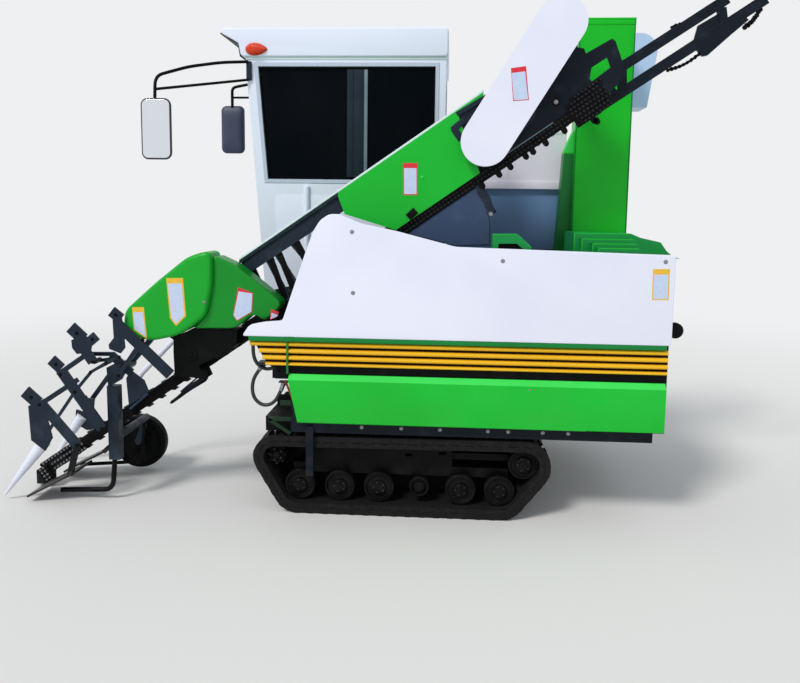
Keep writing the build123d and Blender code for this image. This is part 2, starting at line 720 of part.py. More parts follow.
def front_cover():
    """Two-lobed green cover over the head's drive."""
    front = [
        (1444, 1233), (1249, 1407), (1055, 1562), (944, 1600), (902, 1582), (905, 1396),
        (945, 1207), (1051, 1125), (1133, 1080), (1290, 1045), (1448, 1085), (1455, 1158),
    ]
    rear = [
        (902, 1582), (769, 1516), (575, 1366), (479, 1283), (589, 1178), (662, 1225),
        (767, 1131), (1051, 1125), (945, 1207), (905, 1396),
    ]
    front = profile(front, 722, 920)
    front = chamfer(front.faces().sort_by(Axis.Y)[-1].edges(), ROLLED_RIM)
    rear = profile(rear, 722, 878)
    rims = [edge for edge in rear.faces().sort_by(Axis.Y)[-1].edges() if edge.center().X < 880]
    return front + chamfer(rims, ROLLED_RIM)


def head_gearbox():
    """Dark gear case under the front cover."""
    case = profile([
        (766, 1120), (777, 1023), (829, 975), (1012, 891), (974, 805), (1165, 824),
        (1170, 974), (1167, 1066), (1133, 1074), (1051, 1119),
    ], 690, 850)
    return case + prism(1060, 930, 30, 674, 700, 12)


def head_frame():
    """Cross tubes, arm, column and foot that carry the digging head."""
    tubes = [prism(1300, 1112, 30, 146, 722, 12), prism(1575, 400, 26, 300, 805, 12)]
    link = profile([(1167.2, 1060), (1300, 1140), (1322, 1100), (1300, 1082), (1169.5, 990)], 692, 718)
    joint = prism(1500, 868, 30, 692, 936, 12)
    arm = bar(1300, 1100, 1504, 864, 34, 692, 718)
    flats = (
        # x0, z0, x1, z1, width
        (1560, 946, 1436, 836, 50),
        (1682, 949, 1545, 951, 24),
        (1640, 908, 1545, 922, 20),
        (1692, 663, 1514, 901, 26),
    )
    webs = [bar(x0, z0, x1, z1, width, 850, 868) for x0, z0, x1, z1, width in flats]
    webs.append(profile([(1593, 864), (1514, 905), (1473, 839), (1503, 789), (1586, 740)], 840, 862))
    web = [(1440, 850), (1358, 789), (1331, 720), (1425, 650), (1458, 628), (1470, 800)]
    webs.append(profile(web, 846, 860))
    spacer = prism(1632, 915, 16, 860, NEAR_Y - 14, 8)
    column = slab(1525, 1595, 800, 862, 275, 748)
    return joined([*tubes, link, joint, arm, *webs, spacer, column, head_foot(), gauge_arm()])


def head_foot():
    """Bent pipe foot under the column."""
    return pipe([(1570, 830, 280), (1590, 830, 70), (1930, 830, 55)], [60], 13)


DIVIDER_BARS = (
    # x0, z0, x1, z1, width
    (1985, 655, 1757, 390, 64),
    (1844, 860, 1594, 500, 66),
    (1722, 1036, 1638, 915, 62),
    (1471, 1147, 1157, 848, 66),
    (1983, 640, 1736, 803, 30),
    (1832, 852, 1655, 975, 30),
    (1956, 445, 1760, 725, 18),
    (1760, 725, 1652, 852, 18),
    (1652, 852, 1555, 912, 18),
    (1555, 912, 1470, 950, 18),
    (1480, 835, 1322, 1062, 26),
    (2076, 720, 1994, 647, 79),
    (1900, 923, 1840, 868, 68),
    (1770, 1127, 1693, 1055, 76),
    (1655, 1078, 1617, 1033, 66),
    (1512, 1230, 1455, 1185, 66),
)


def divider_left():
    """Crossed flat bars of the left divider unit, with the plates at their upper ends."""
    y0, y1 = NEAR_Y - 14, NEAR_Y
    pieces = [bar(x0, z0, x1, z1, width, y0, y1) for x0, z0, x1, z1, width in DIVIDER_BARS]
    plates = (
        ((2057, 629), (2048, 413), (1961, 346), (1913, 430), (1966, 669)),
        ((1767, 1048), (1690, 1080), (1636, 1050), (1650, 975), (1735, 962), (1764, 1000)),
        ((1505, 1190), (1450, 1190), (1441, 1104), (1434, 1008), (1462, 973), (1531, 999),
         (1534, 1026), (1501, 1068)),
        ((1722, 690), (1700, 690), (1690, 706), (1680, 690), (1636, 684), (1644, 622), (1722, 622)),
    )
    pieces += [profile(points, y0, y1) for points in plates]
    return joined(pieces)


def divider_right():
    """Low arm and bracket of the right divider unit."""
    y0, y1 = FAR_Y - 26, FAR_Y - 10
    bracket = profile([(2150, 400), (2160, 300), (2075, 250), (1990, 262), (2060, 372)], y0, y1)
    arm = bar(2060, 320, 1960, 262, 60, y0, y1)
    low = bar(1980, 262, WHEEL_X, WHEEL_Z + 60, 56, y0, y1)
    hub = prism(WHEEL_X, WHEEL_Z, 52, y0, y1, 12)
    hub = hub + bar(WHEEL_X, WHEEL_Z, WHEEL_X, WHEEL_Z + 70, 60, y0, y1)
    return joined([bracket, arm, low, hub]) - disc(WHEEL_X, WHEEL_Z, 16.4, y0 - 5, y1 + 5)


def right_strut():
    """White bent tube from the upper cross tube down to the right divider's arm."""
    y = FAR_Y - 36
    tube = pipe([(1290, y, 1060), (1690, y, 650), (1722, y, 262)], [90], 19)
    collar = prism(1300, 1112, 42, y - 18, y + 2, 12)
    tube = tube + collar + bar(1300, 1100, 1290, 1050, 38, y - 18, y + 2)
    return tube - divider_right()


def divider_tip(y, tip_x, base_x, base_z):
    """White pointed cone that parts the vines."""
    tip = Vector(tip_x, y, 28)
    base = Vector(base_x, y, base_z)
    length = (base - tip).length
    nose = Plane(tip, z_dir=base - tip) * RegularPolygon(8, 16)
    return extrude(nose, amount=length, taper=-degrees(atan2(32, length)))


def blades():
    """Two digging blades under the head."""
    near = bar(2106, 36, 1789, 205, 14, 690, 925)
    near_hanger = bar(1822, 188, 1765, 400, 30, 901, NEAR_Y - 14)
    far = bar(2106, 36, 1789, 205, 14, 305, 460)
    far_hanger = bar(1820, 188, 1600, 392, 30, 436, 460) - prism(1575, 400, 26, 300, 805, 12)
    return Compound(children=[near + near_hanger, far + far_hanger])


def gauge_arm():
    """Fork that carries the gauge wheel on its axle."""
    return joined([
        bar(1575, 400, WHEEL_X, WHEEL_Z, 44, WHEEL_Y + 50, WHEEL_Y + 64),
        disc(WHEEL_X, WHEEL_Z, 16, FAR_Y - 30, WHEEL_Y + 60),
    ])


def gauge_wheel():
    """Depth wheel with a dished disc, a rim and a hub."""
    rim = prism(WHEEL_X, WHEEL_Z, WHEEL_R, WHEEL_Y - 40, WHEEL_Y + 40, 32)
    rim = rim - prism(WHEEL_X, WHEEL_Z, WHEEL_R - 35, WHEEL_Y + 12, WHEEL_Y + 45, 20)
    rim = rim - prism(WHEEL_X, WHEEL_Z, WHEEL_R - 35, WHEEL_Y - 45, WHEEL_Y - 12, 20)
    hub = prism(WHEEL_X, WHEEL_Z, 45, WHEEL_Y - 40, WHEEL_Y + 40, 10)
    return (rim + hub) - disc(WHEEL_X, WHEEL_Z, 16.5, WHEEL_Y - 50, WHEEL_Y + 50)


# Hoses at the front of the left side: points, then one bend radius for each inner point

HOSE_R = 11.0
HOSES = {
    "hose_upper": [
        (655, 900, 1080), (661, 900, 1000), (642, 900, 925),
        (580, 900, 884), (512, 900, 908), (486, 900, 975),
    ],
    "hose_lower": [
        (606, 868, 905), (654, 872, 850), (672, 884, 775), (658, 892, 705),
        (605, 896, 662), (545, 896, 672), (503, 894, 722), (478, 888, 790),
    ],
}


def bend_radii(points):
    """Largest arcs that each pair of neighbouring runs leaves room for."""
    pts = [Vector(*p) for p in points]
    out = []
    for before, at, after in zip(pts, pts[1:], pts[2:]):
        turn = radians((at - before).get_angle(after - at))
        shorter = min((at - before).length, (after - at).length)
        out.append(0.45 * shorter / tan(turn / 2))
    return out


def hose_length(points, bends):
    """Length of a route of straight runs and tangent arcs."""
    pts = [Vector(*p) for p in points]
    total = sum((b - a).length for a, b in zip(pts, pts[1:]))
    for before, at, after, bend in zip(pts, pts[1:], pts[2:], bends):
        turn = radians((at - before).get_angle(after - at))
        total += bend * turn - 2 * bend * tan(turn / 2)
    return total


# Lift cylinder


def ram_point(distance):
    """Point on the cylinder's line at a distance from its foot pin."""
    dx = RAM_EYE[0] - RAM_FOOT[0]
    dz = RAM_EYE[1] - RAM_FOOT[1]
    share = distance / hypot(dx, dz)
    return (RAM_FOOT[0] + share * dx, RAM_Y, RAM_FOOT[1] + share * dz)


def lift_barrel():
    """Barrel of the lift cylinder with its foot eye."""
    tube = strut(ram_point(36), ram_point(560), 38) - rod(ram_point(120), ram_point(570), 20.5)
    eye = prism(RAM_FOOT[0], RAM_FOOT[1], 42, RAM_Y - 25, RAM_Y + 25, 16)
    return joined([tube, eye]) - disc(RAM_FOOT[0], RAM_FOOT[1], 20.5, RAM_Y - 30, RAM_Y + 30)


def lift_rod():
    """Rod of the lift cylinder with its eye."""
    length = hypot(RAM_EYE[0] - RAM_FOOT[0], RAM_EYE[1] - RAM_FOOT[1])
    shaft = rod(ram_point(205), ram_point(length - 30), 20)
    eye = prism(RAM_EYE[0], RAM_EYE[1], 36, RAM_Y - 22, RAM_Y + 22, 12)
    return joined([shaft, eye]) - disc(RAM_EYE[0], RAM_EYE[1], 20, RAM_Y - 30, RAM_Y + 30)


NODES = {
    "main_frame": main_frame(),
    "engine_block": engine_block(),
}
for side, turn in (("left", lambda shape: shape), ("right", mirrored)):
    NODES[f"track_{side}"] = turn(track())
    NODES[f"track_wheels_{side}"] = turn(track_wheels())
    NODES[f"track_frame_{side}"] = turn(track_frame())

NODES.update({
    "side_panel_left": side_panel_left(),
    "side_panel_right": side_panel_right(),
    "lower_panel_left": joined([lower_panel(1), rear_skirt()]),
    "lower_panel_right": lower_panel(-1),
    "grille_left": grille(1),
    "grille_right": grille(-1),
    "body_deck": body_deck(),
    "rear_panel": rear_panel(),
    "rear_hood": rear_hood(),
    "tank": tank(),
    "tank_base": tank_base(),
    "elevator_tower": elevator_tower(),
    "elevator_head": elevator_head(),
    "cab_floor": cab_floor(),
    "cab_left_wall": cab_left_wall(),
    "cab_right_wall": cab_right_wall(),
    "cab_door": cab_door(),
    "cab_door_glass": cab_door_glass(),
    "cab_front": cab_front(),
    "cab_rear": cab_rear(),
    "cab_glass": cab_glass(),
    "cab_roof": cab_roof(),
    "seat": seat(),
    "control_console": control_console(),
    "lamps": lamps(),
    "mirror_left": mirror_left(),
    "mirror_right": mirror_right(),
    "conveyor_beam": conveyor_beam(),
    "clamp_chain": clamp_chain(),
    "chute_cover": chute_cover(),
    "chute_rail": chute_rail(),
    "drive_guard": drive_guard(),
    "conveyor_plates": conveyor_plates(),
    "rear_rails": rear_rails(),
    "front_cover": front_cover(),
    "head_gearbox": head_gearbox(),
    "head_frame": head_frame(),
    "divider_left": divider_left(),
    "divider_right": divider_right(),
    "right_strut": right_strut(),
    "divider_tips": Compound(children=[
        divider_tip(NEAR_Y - 56, 2272, 1992, 390),
        divider_tip(FAR_Y - 18, 2332, 2105, 353) - divider_right(),
    ]),
    "blades": blades(),
    "gauge_wheel": gauge_wheel(),
    "lift_barrel": lift_barrel(),
    "lift_rod": lift_rod(),
})
for name, points in HOSES.items():
    bends = bend_radii(points)
    NODES[name] = hose(points, bends, HOSE_R)
    print(name, "bend radii", [round(bend) for bend in bends])
    section = RegularPolygon(HOSE_R, HOSE_SIDES).area
    print(name, "volume", round(NODES[name].volume), round(section * hose_length(points, bends)))

os.makedirs("parts", exist_ok=True)
for name, shape in NODES.items():
    export_step(shape, f"parts/{name}.step")
    print(name, [round(v) for v in (*shape.bounding_box().min, *shape.bounding_box().max)])
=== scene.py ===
import bmesh
import bpy
import numpy as np
from mathutils import Matrix, Vector


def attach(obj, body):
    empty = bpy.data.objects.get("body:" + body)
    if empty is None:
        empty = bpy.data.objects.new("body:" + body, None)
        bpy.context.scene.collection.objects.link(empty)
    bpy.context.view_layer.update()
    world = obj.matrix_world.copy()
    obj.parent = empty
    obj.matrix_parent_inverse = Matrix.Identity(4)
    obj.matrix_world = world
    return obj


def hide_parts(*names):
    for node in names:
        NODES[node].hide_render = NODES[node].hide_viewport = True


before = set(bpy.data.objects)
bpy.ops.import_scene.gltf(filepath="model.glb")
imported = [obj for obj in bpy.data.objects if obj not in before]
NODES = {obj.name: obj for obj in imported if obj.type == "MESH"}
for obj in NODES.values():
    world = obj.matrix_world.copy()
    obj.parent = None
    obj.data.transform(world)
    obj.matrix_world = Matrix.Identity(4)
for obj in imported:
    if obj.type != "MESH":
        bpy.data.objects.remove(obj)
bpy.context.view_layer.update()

# Looks of a peanut harvester on two crawler tracks.
# Metres. +X is forward, +Y is the machine's left, +Z is up.
# A new piece is a surface on a grid, worked out as whole arrays: points[i, j] = (x, y, z).

TAU = 2 * np.pi

# Camera
CAMERA_PLACE = (-0.525, 5.43, 1.85)
CAMERA_RIGHT = (-0.9977, -0.0664, 0.0129)
CAMERA_UP = (0.0206, -0.1170, 0.9929)
CAMERA_BACK = (-0.0644, 0.9909, 0.1181)
LENS = 34.65
SHIFT_Y = -0.048

# Running gear
TRACK_INNER, TRACK_OUTER = 0.610, 0.930
ROLLER_Z, ROLLER_R = 0.163, 0.094
ROLLER_X = (0.379, 0.131, -0.112, -0.612, -0.850)
CARRIER = (-0.360, 0.173, 0.062)    # x, z and radius
IDLER = (-0.990, 0.335, 0.093)
SPROCKET_X, SPROCKET_Z, SPROCKET_R = 0.525, 0.350, 0.068
WHEEL_FACE = TRACK_OUTER - 0.060    # outer face of rollers, idler and sprocket, as y
BELT, LUG = 0.028, 0.037    # thickness of the belt and height of its lugs

# Conveyor line, from the digging head up to the rear
LINE_FOOT = np.array((2.125, 0.130))
LINE_ANGLE = np.radians(34.6)
LINE_UP = np.array((-np.cos(LINE_ANGLE), np.sin(LINE_ANGLE)))
LINE_OUT = np.array((np.sin(LINE_ANGLE), np.cos(LINE_ANGLE)))

# Faces that look to the machine's left, as y
SIDE_PANEL_FACE = 0.9975
DIVIDER_FACE = 0.9498
SILL_FACE = 0.9398
FRONT_LOBE_FACE, REAR_LOBE_FACE = 0.920, 0.878
GEAR_CASE_FACE = 0.8495
GUARD_FACE = 0.820
CHUTE_FACE = 0.718
REAR_PLATE_FACE = 0.7035

# Slices between two planes across Y, for bars and seams that lie on the faces
FRAME_BARS = (0.915, 0.930)
CHUTE_SLATS = (0.690, 0.6965)
TOWER_SEAMS = (0.2298, 0.2335)
TANK_SEAMS = (0.0495, 0.0525)


# Mesh making


def finish_mesh(mesh, crease):
    """Merges doubled points at poles and seams, turns faces outwards and smooths all but sharp edges."""
    work = bmesh.new()
    work.from_mesh(mesh)
    bmesh.ops.remove_doubles(work, verts=work.verts, dist=1e-6)
    bmesh.ops.recalc_face_normals(work, faces=work.faces)
    work.to_mesh(mesh)
    work.free()
    mesh.shade_smooth()
    mesh.set_sharp_from_angle(angle=np.radians(crease))


def put(name, data):
    """New object of the scene, at the origin."""
    item = bpy.data.objects.new(name, data)
    bpy.context.scene.collection.objects.link(item)
    return item


def new_piece(name, points, faces, material, body, crease):
    """Finished mesh of one finish that rides on a body."""
    mesh = bpy.data.meshes.new(name)
    mesh.from_pydata(points, [], faces)
    finish_mesh(mesh, crease)
    mesh.materials.append(material)
    piece = put(name, mesh)
    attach(piece, body)
    return piece


def surface(name, grids, material, body, wrap_v=False, crease=35):
    """One mesh from an array of grids, shape (..., nu, nv, 3): a face for each cell, closed along u."""
    grids = np.asarray(grids, float)
    nu, nv = grids.shape[-3:-1]
    points = grids.reshape(-1, 3)
    i, j = np.meshgrid(np.arange(nu), np.arange(nv if wrap_v else nv - 1), indexing="ij")
    i2, j2 = (i + 1) % nu, (j + 1) % nv
    cell = np.stack([i * nv + j, i2 * nv + j, i2 * nv + j2, i * nv + j2], -1).reshape(-1, 4)
    starts = np.arange(0, len(points), nu * nv)
    faces = (cell[None] + starts[:, None, None]).reshape(-1, 4)
    return new_piece(name, points.tolist(), faces.tolist(), material, body, crease)


def turned(outline, centre, sides):
    """Surface of revolution round an axis along Y: outline is (radius, y) pairs, closed at both poles."""
    r, y = np.asarray(outline, float).T
    angle = np.arange(sides)[:, None] * TAU / sides
    x = centre[0] + r * np.cos(angle)
    z = centre[1] + r * np.sin(angle)
    return np.stack([x, np.broadcast_to(y, x.shape), z], -1)


def frames_along(path):
    """Two normals at each point of a path: the last point's normal, less its share along the tangent."""
    tangent = np.gradient(path, axis=0)
    tangent /= np.linalg.norm(tangent, axis=1, keepdims=True)
    side = np.cross(tangent[0], (0.0, 0.0, 1.0) if abs(tangent[0][2]) < 0.9 else (1.0, 0.0, 0.0))
    sides = []
    for t in tangent:
        side = side - t * side.dot(t)
        side /= np.linalg.norm(side)
        sides.append(side)
    sides = np.array(sides)
    return sides, np.cross(tangent, sides)


def tube(path, radius, sides=20):
    """Round tube: a circle of the radius carried along the path, closed at both ends."""
    path = np.asarray(path, float)
    a, b = frames_along(path)
    reach = np.full(len(path), radius, float) if np.isscalar(radius) else np.asarray(radius, float)
    path = np.concatenate([path[:1], path, path[-1:]])
    a = np.concatenate([a[:1], a, a[-1:]])
    b = np.concatenate([b[:1], b, b[-1:]])
    reach = np.concatenate([[0.0], reach, [0.0]])
    angle = np.arange(sides)[:, None, None] * TAU / sides
    return path + reach[:, None] * (a * np.cos(angle) + b * np.sin(angle))


def bent(corners, radius, steps=8):
    """Path along straight runs, a curve (1-t)^2 a + 2t(1-t) b + t^2 c at each corner."""
    corners = [np.array(c, float) for c in corners]
    path = [corners[0]]
    t = np.linspace(0, 1, steps)[:, None]
    for before, at, after in zip(corners, corners[1:], corners[2:]):
        a = at + (before - at) / np.linalg.norm(before - at) * radius
        b = at + (after - at) / np.linalg.norm(after - at) * radius
        path.extend((1 - t) ** 2 * a + 2 * t * (1 - t) * at + t**2 * b)
    path.append(corners[-1])
    return np.array(path)


def rounded_outline(width, height, corner, steps):
    """Rectangle about its middle with quarter-circle corners, as (n, 2) points."""
    a, b = width / 2 - corner, height / 2 - corner
    angle = np.linspace(0, np.pi / 2, steps)
    arcs = []
    for k, (sx, sy) in enumerate(((1, 1), (-1, 1), (-1, -1), (1, -1))):
        turn = angle + k * np.pi / 2
        arcs.append(np.stack([sx * a + corner * np.cos(turn), sy * b + corner * np.sin(turn)], -1))
    return np.concatenate(arcs)


def plate(outline, thickness, edge, origin, u, v, crown=0.0):
    """Plate with a softened rim: an outline (n, 2) in the plane of u and v, drawn in to its middle by rings.

    The face stands at height thickness from the origin plane and rises by crown towards the middle."""
    outline = np.asarray(outline, float)
    u, v = np.asarray(u, float), np.asarray(v, float)
    normal = np.cross(u, v)
    middle = outline.mean(0)
    size = np.abs(outline - middle).max()
    inset = edge / size
    rings = np.array((
        # share of the outline, height share of the thickness, crown share
        (0.0, 0.0, 0.0), (1.0, 0.0, 0.0), (1.0, 1.0 - edge / thickness, 0.0),
        (1.0 - 0.3 * inset, 1.0 - 0.3 * edge / thickness, 0.0), (1.0 - inset, 1.0, 0.0),
        (0.75 * (1 - inset), 1.0, 0.44), (0.5 * (1 - inset), 1.0, 0.75),
        (0.25 * (1 - inset), 1.0, 0.94), (0.0, 1.0, 1.0),
    ))
    flat = middle + rings[:, 0, None] * (outline - middle)[:, None, :]
    height = rings[:, 1] * thickness + rings[:, 2] * crown
    return np.asarray(origin, float) + flat[..., :1] * u + flat[..., 1:] * v + height[:, None] * normal


def placed(grid, places):
    """Copies of one small grid, one for each 4x4 place."""
    places = np.asarray(places, float)
    turned_grid = np.einsum("nij,uvj->nuvi", places[:, :3, :3], grid)
    return turned_grid + places[:, None, None, :3, 3]


def place(origin, u, v):
    """4x4 place whose x runs along u, y along v and z along their cross product."""
    u, v = np.asarray(u, float), np.asarray(v, float)
    m = np.eye(4)
    m[:3, 0], m[:3, 1], m[:3, 2], m[:3, 3] = u, v, np.cross(u, v), origin
    return m


def bolt_head(radius, height):
    """Hexagonal bolt head on a round washer: rings of radius over height, crowned at the top."""
    rings = np.array((
        # radius share, height share
        (0.0, 0.0), (1.35, 0.0), (1.35, 0.22), (1.0, 0.22), (1.0, 0.86), (0.86, 1.0), (0.0, 1.0),
    ))
    angle = np.arange(12) * TAU / 12
    hexagon = 1 / np.cos((angle + TAU / 12) % (TAU / 6) - TAU / 12)
    washer = rings[:, 0] > 1.2
    reach = radius * rings[:, 0] * np.where(washer, 1.0, hexagon[:, None] * 0.92)
    x = reach * np.cos(angle)[:, None]
    y = reach * np.sin(angle)[:, None]
    z = np.broadcast_to(rings[:, 1] * height, x.shape)
    return np.stack([x, y, z], -1)


def inward(outline, reach):
    """Outline (n, 2) drawn in: each corner moves by the reach along its two edges' mean inner normal."""
    outline = np.asarray(outline, float)
    following = np.roll(outline, -1, 0)
    after = following - outline
    turn = np.sign((outline[:, 0] * following[:, 1] - following[:, 0] * outline[:, 1]).sum())
    after /= np.linalg.norm(after, axis=1, keepdims=True)
    b = turn * np.stack([-after[:, 1], after[:, 0]], -1)
    a = np.roll(b, 1, 0)
    return outline + reach * (a + b) / np.maximum(1 + (a * b).sum(1), 0.35)[:, None]


def eased(outline, reach, steps):
    """Outline (n, 2) whose corners are quarter curves from the reach, or from 0.4 of a shorter edge."""
    outline = np.asarray(outline, float)
    before = np.roll(outline, 1, 0) - outline
    after = np.roll(outline, -1, 0) - outline
    t = np.linspace(0, 1, steps)[:, None]
    corners = []
    for at, p, q in zip(outline, before, after):
        a = at + p / np.linalg.norm(p) * min(reach, 0.4 * np.linalg.norm(p))
        b = at + q / np.linalg.norm(q) * min(reach, 0.4 * np.linalg.norm(q))
        corners.append((1 - t) ** 2 * a + 2 * t * (1 - t) * at + t**2 * b)
    return np.concatenate(corners)


ACROSS = {"y": (0, 2, 1), "x": (1, 2, 0)}    # axes of an outline's two columns and of its carrying


def pressed(outline, low, high, rim, steps=3, across="y"):
    """Stack of closed rings: an outline carried from low to high, with a quarter circle round both faces."""
    t = np.linspace(0, np.pi / 2, steps)
    drawn_in = rim * (1 - np.sin(t))
    rise = rim * (1 - np.cos(t))
    levels = list(zip(drawn_in, low + rise)) + list(zip(drawn_in[::-1], high - rise[::-1]))
    rings = np.zeros((len(levels), len(outline), 3))
    a, b, c = ACROSS[across]
    for ring, (reach, level) in zip(rings, levels):
        flat = inward(outline, reach) if rim else np.asarray(outline, float)
        ring[:, a], ring[:, b], ring[:, c] = flat[:, 0], flat[:, 1], level
    return rings


def block(x0, x1, y0, y1, z0, z1, rim):
    """Soft-edged block: its rectangle in the side view, pressed from y0 to y1."""
    return pressed([(x0, z0), (x1, z0), (x1, z1), (x0, z1)], y0, y1, rim)


def flat_bar(x0, z0, x1, z1, width, y0, y1, rim):
    """Flat bar in the side view: half the width to each side of the line between its ends' middles."""
    p, q = np.array((x0, z0), float), np.array((x1, z1), float)
    side = np.array((q[1] - p[1], p[0] - q[0])) / np.linalg.norm(q - p) * width / 2
    return pressed([p + side, q + side, q - side, p - side], y0, y1, rim)


def on_line(s, n):
    """Point (x, z) at distance s up the conveyor's line and n out from it."""
    return LINE_FOOT + np.multiply.outer(s, LINE_UP) + np.multiply.outer(n, LINE_OUT)


def along_line(s0, s1, n0, n1, y0, y1, rim):
    """Soft-edged bar along the conveyor's line, from s0 to s1 up it and from n0 to n1 out from it."""
    return pressed([on_line(s0, n0), on_line(s1, n0), on_line(s1, n1), on_line(s0, n1)], y0, y1, rim)


def solid(name, stacks, material, body, crease=35):
    """One mesh from stacks of closed rings, shape (k, n, 3): faces between rings and one over each end."""
    points, faces = [], []
    for rings in stacks:
        k, n = rings.shape[:2]
        start = len(points)
        j, i = np.meshgrid(np.arange(k - 1), np.arange(n), indexing="ij")
        i2 = (i + 1) % n
        cells = np.stack([j * n + i, j * n + i2, (j + 1) * n + i2, (j + 1) * n + i], -1).reshape(-1, 4)
        faces += (cells + start).tolist()
        faces += [list(range(start + n - 1, start - 1, -1)), list(range(start + (k - 1) * n, start + k * n))]
        points += rings.reshape(-1, 3).tolist()
    return new_piece(name, points, faces, material, body, crease)


def border(outline, width, y0, y1, rim=0.003):
    """Frame in the side view: a rectangle with cut corners, width by y1 - y0, carried round the outline."""
    section = (
        (0.0, y0), (0.0, y1 - rim), (rim, y1), (width - rim, y1), (width, y1 - rim), (width, y0),
    )
    rings = []
    for reach, y in section:
        flat = inward(outline, reach)
        rings.append(np.stack([flat[:, 0], np.full(len(flat), y), flat[:, 1]], -1))
    return np.stack(rings, 1)


def bolts(name, places_xz, y, radius, height, material, body):
    """Hexagonal heads on a face that looks along Y, one at each (x, z)."""
    places = [place((x, y, z), (0, 0, 1), (1, 0, 0)) for x, z in places_xz]
    return surface(name, placed(bolt_head(radius, height), places), material, body)


# Finishes


def new_finish(name):
    """New finish with its node tree and its shader."""
    material = bpy.data.materials.new(name)
    material.use_nodes = True
    tree = material.node_tree
    return material, tree, tree.nodes["Principled BSDF"]


def feed(tree, node, links):
    """Links each named input to the socket that feeds it, or gives it its value."""
    for key, value in links.items():
        if isinstance(value, bpy.types.NodeSocket):
            tree.links.new(value, node.inputs[key])
        else:
            node.inputs[key].default_value = value


def add(tree, kind, links=None, **settings):
    """One node, with its settings and what feeds it."""
    node = tree.nodes.new(kind)
    for key, value in settings.items():
        setattr(node, key, value)
    feed(tree, node, links or {})
    return node


def noise(tree, scale, detail, stretch=(1, 1, 1)):
    """Noise on Object coordinates, stretched along the axes."""
    coords = add(tree, "ShaderNodeTexCoord").outputs["Object"]
    mapped = add(tree, "ShaderNodeMapping", {"Vector": coords, "Scale": stretch}).outputs["Vector"]
    grain = add(tree, "ShaderNodeTexNoise", {"Vector": mapped, "Scale": scale, "Detail": detail})
    return grain.outputs["Fac"]


def span(tree, value, low, high, to_low=0.0, to_high=1.0):
    """Value remapped from one range to another, held at its ends."""
    links = {"Value": value, "From Min": low, "From Max": high, "To Min": to_low, "To Max": to_high}
    return add(tree, "ShaderNodeMapRange", links, clamp=True).outputs["Result"]


def mixed(tree, share, a, b):
    """Colour between a and b, which are sockets or (r, g, b)."""
    a, b = (colour if isinstance(colour, bpy.types.NodeSocket) else (*colour, 1.0) for colour in (a, b))
    return add(tree, "ShaderNodeMix", {0: share, 6: a, 7: b}, data_type="RGBA").outputs[2]


def times(tree, a, b):
    """Product of two values or sockets."""
    return add(tree, "ShaderNodeMath", {0: a, 1: b}, operation="MULTIPLY").outputs[0]


def height_above_ground(tree):
    """Height of a piece's point, since each mesh is in the frame's own coordinates."""
    coords = add(tree, "ShaderNodeTexCoord").outputs["Object"]
    return add(tree, "ShaderNodeSeparateXYZ", {"Vector": coords}).outputs["Z"]


def relief(tree, shader, fine, fine_depth, broad=None, broad_depth=0.0):
    """Bump from a fine grain over a broad waviness."""
    links = {"Height": fine, "Strength": 1.0, "Distance": fine_depth}
    if broad is not None:
        under = add(tree, "ShaderNodeBump", {"Height": broad, "Strength": 1.0, "Distance": broad_depth})
        links["Normal"] = under.outputs["Normal"]
    bump = add(tree, "ShaderNodeBump", links)
    tree.links.new(bump.outputs["Normal"], shader.inputs["Normal"])


SOIL = (0.23, 0.165, 0.11)
DRY_SOIL = (0.075, 0.060, 0.048)


def sheet_paint(name, colour, shade, dust):
    """Gloss paint on pressed sheet: slight waves, drifting tone, and soil dust that thins out upwards."""
    material, tree, shader = new_finish(name)
    tone = mixed(tree, span(tree, noise(tree, 1.7, 3.0), 0.3, 0.7), colour, shade)
    low = span(tree, height_above_ground(tree), 0.05, 1.1, 1.0, 0.06)
    specks = span(tree, noise(tree, 55.0, 9.0), 0.5, 0.72)
    clouds = span(tree, noise(tree, 4.0, 6.0), 0.35, 0.75)
    grime = times(tree, times(tree, low, clouds), dust)
    tone = mixed(tree, grime, tone, SOIL)
    tone = mixed(tree, times(tree, times(tree, specks, low), dust), tone, SOIL)
    rough = span(tree, clouds, 0.0, 1.0, 0.32, 0.48)
    feed(tree, shader, {
        "Base Color": tone, "Roughness": rough, "Specular IOR Level": 0.22, "Coat Weight": 0.05,
        "Coat Roughness": 0.12,
    })
    relief(tree, shader, noise(tree, 420.0, 2.0), 0.00006, noise(tree, 2.3, 1.0), 0.0035)
    return material


def frame_paint(name, colour, worn, roughness=0.45, soil=0.25, gloss=0.14):
    """Dark frame paint, brushed on thick, rubbed paler in patches and soiled near the ground."""
    material, tree, shader = new_finish(name)
    rubbed = span(tree, noise(tree, 9.0, 7.0), 0.55, 0.78)
    tone = mixed(tree, rubbed, colour, worn)
    low = span(tree, height_above_ground(tree), 0.0, 0.75, 1.0, 0.04)
    cake = span(tree, noise(tree, 14.0, 9.0), 0.42, 0.7)
    soiled = times(tree, times(tree, low, cake), soil)
    rough = span(tree, cake, 0.0, 1.0, roughness - 0.08, roughness + 0.22)
    tone = mixed(tree, soiled, tone, DRY_SOIL)
    feed(tree, shader, {"Base Color": tone, "Roughness": rough, "Specular IOR Level": gloss})
    relief(tree, shader, noise(tree, 160.0, 4.0), 0.00025, noise(tree, 22.0, 2.0), 0.0006)
    return material


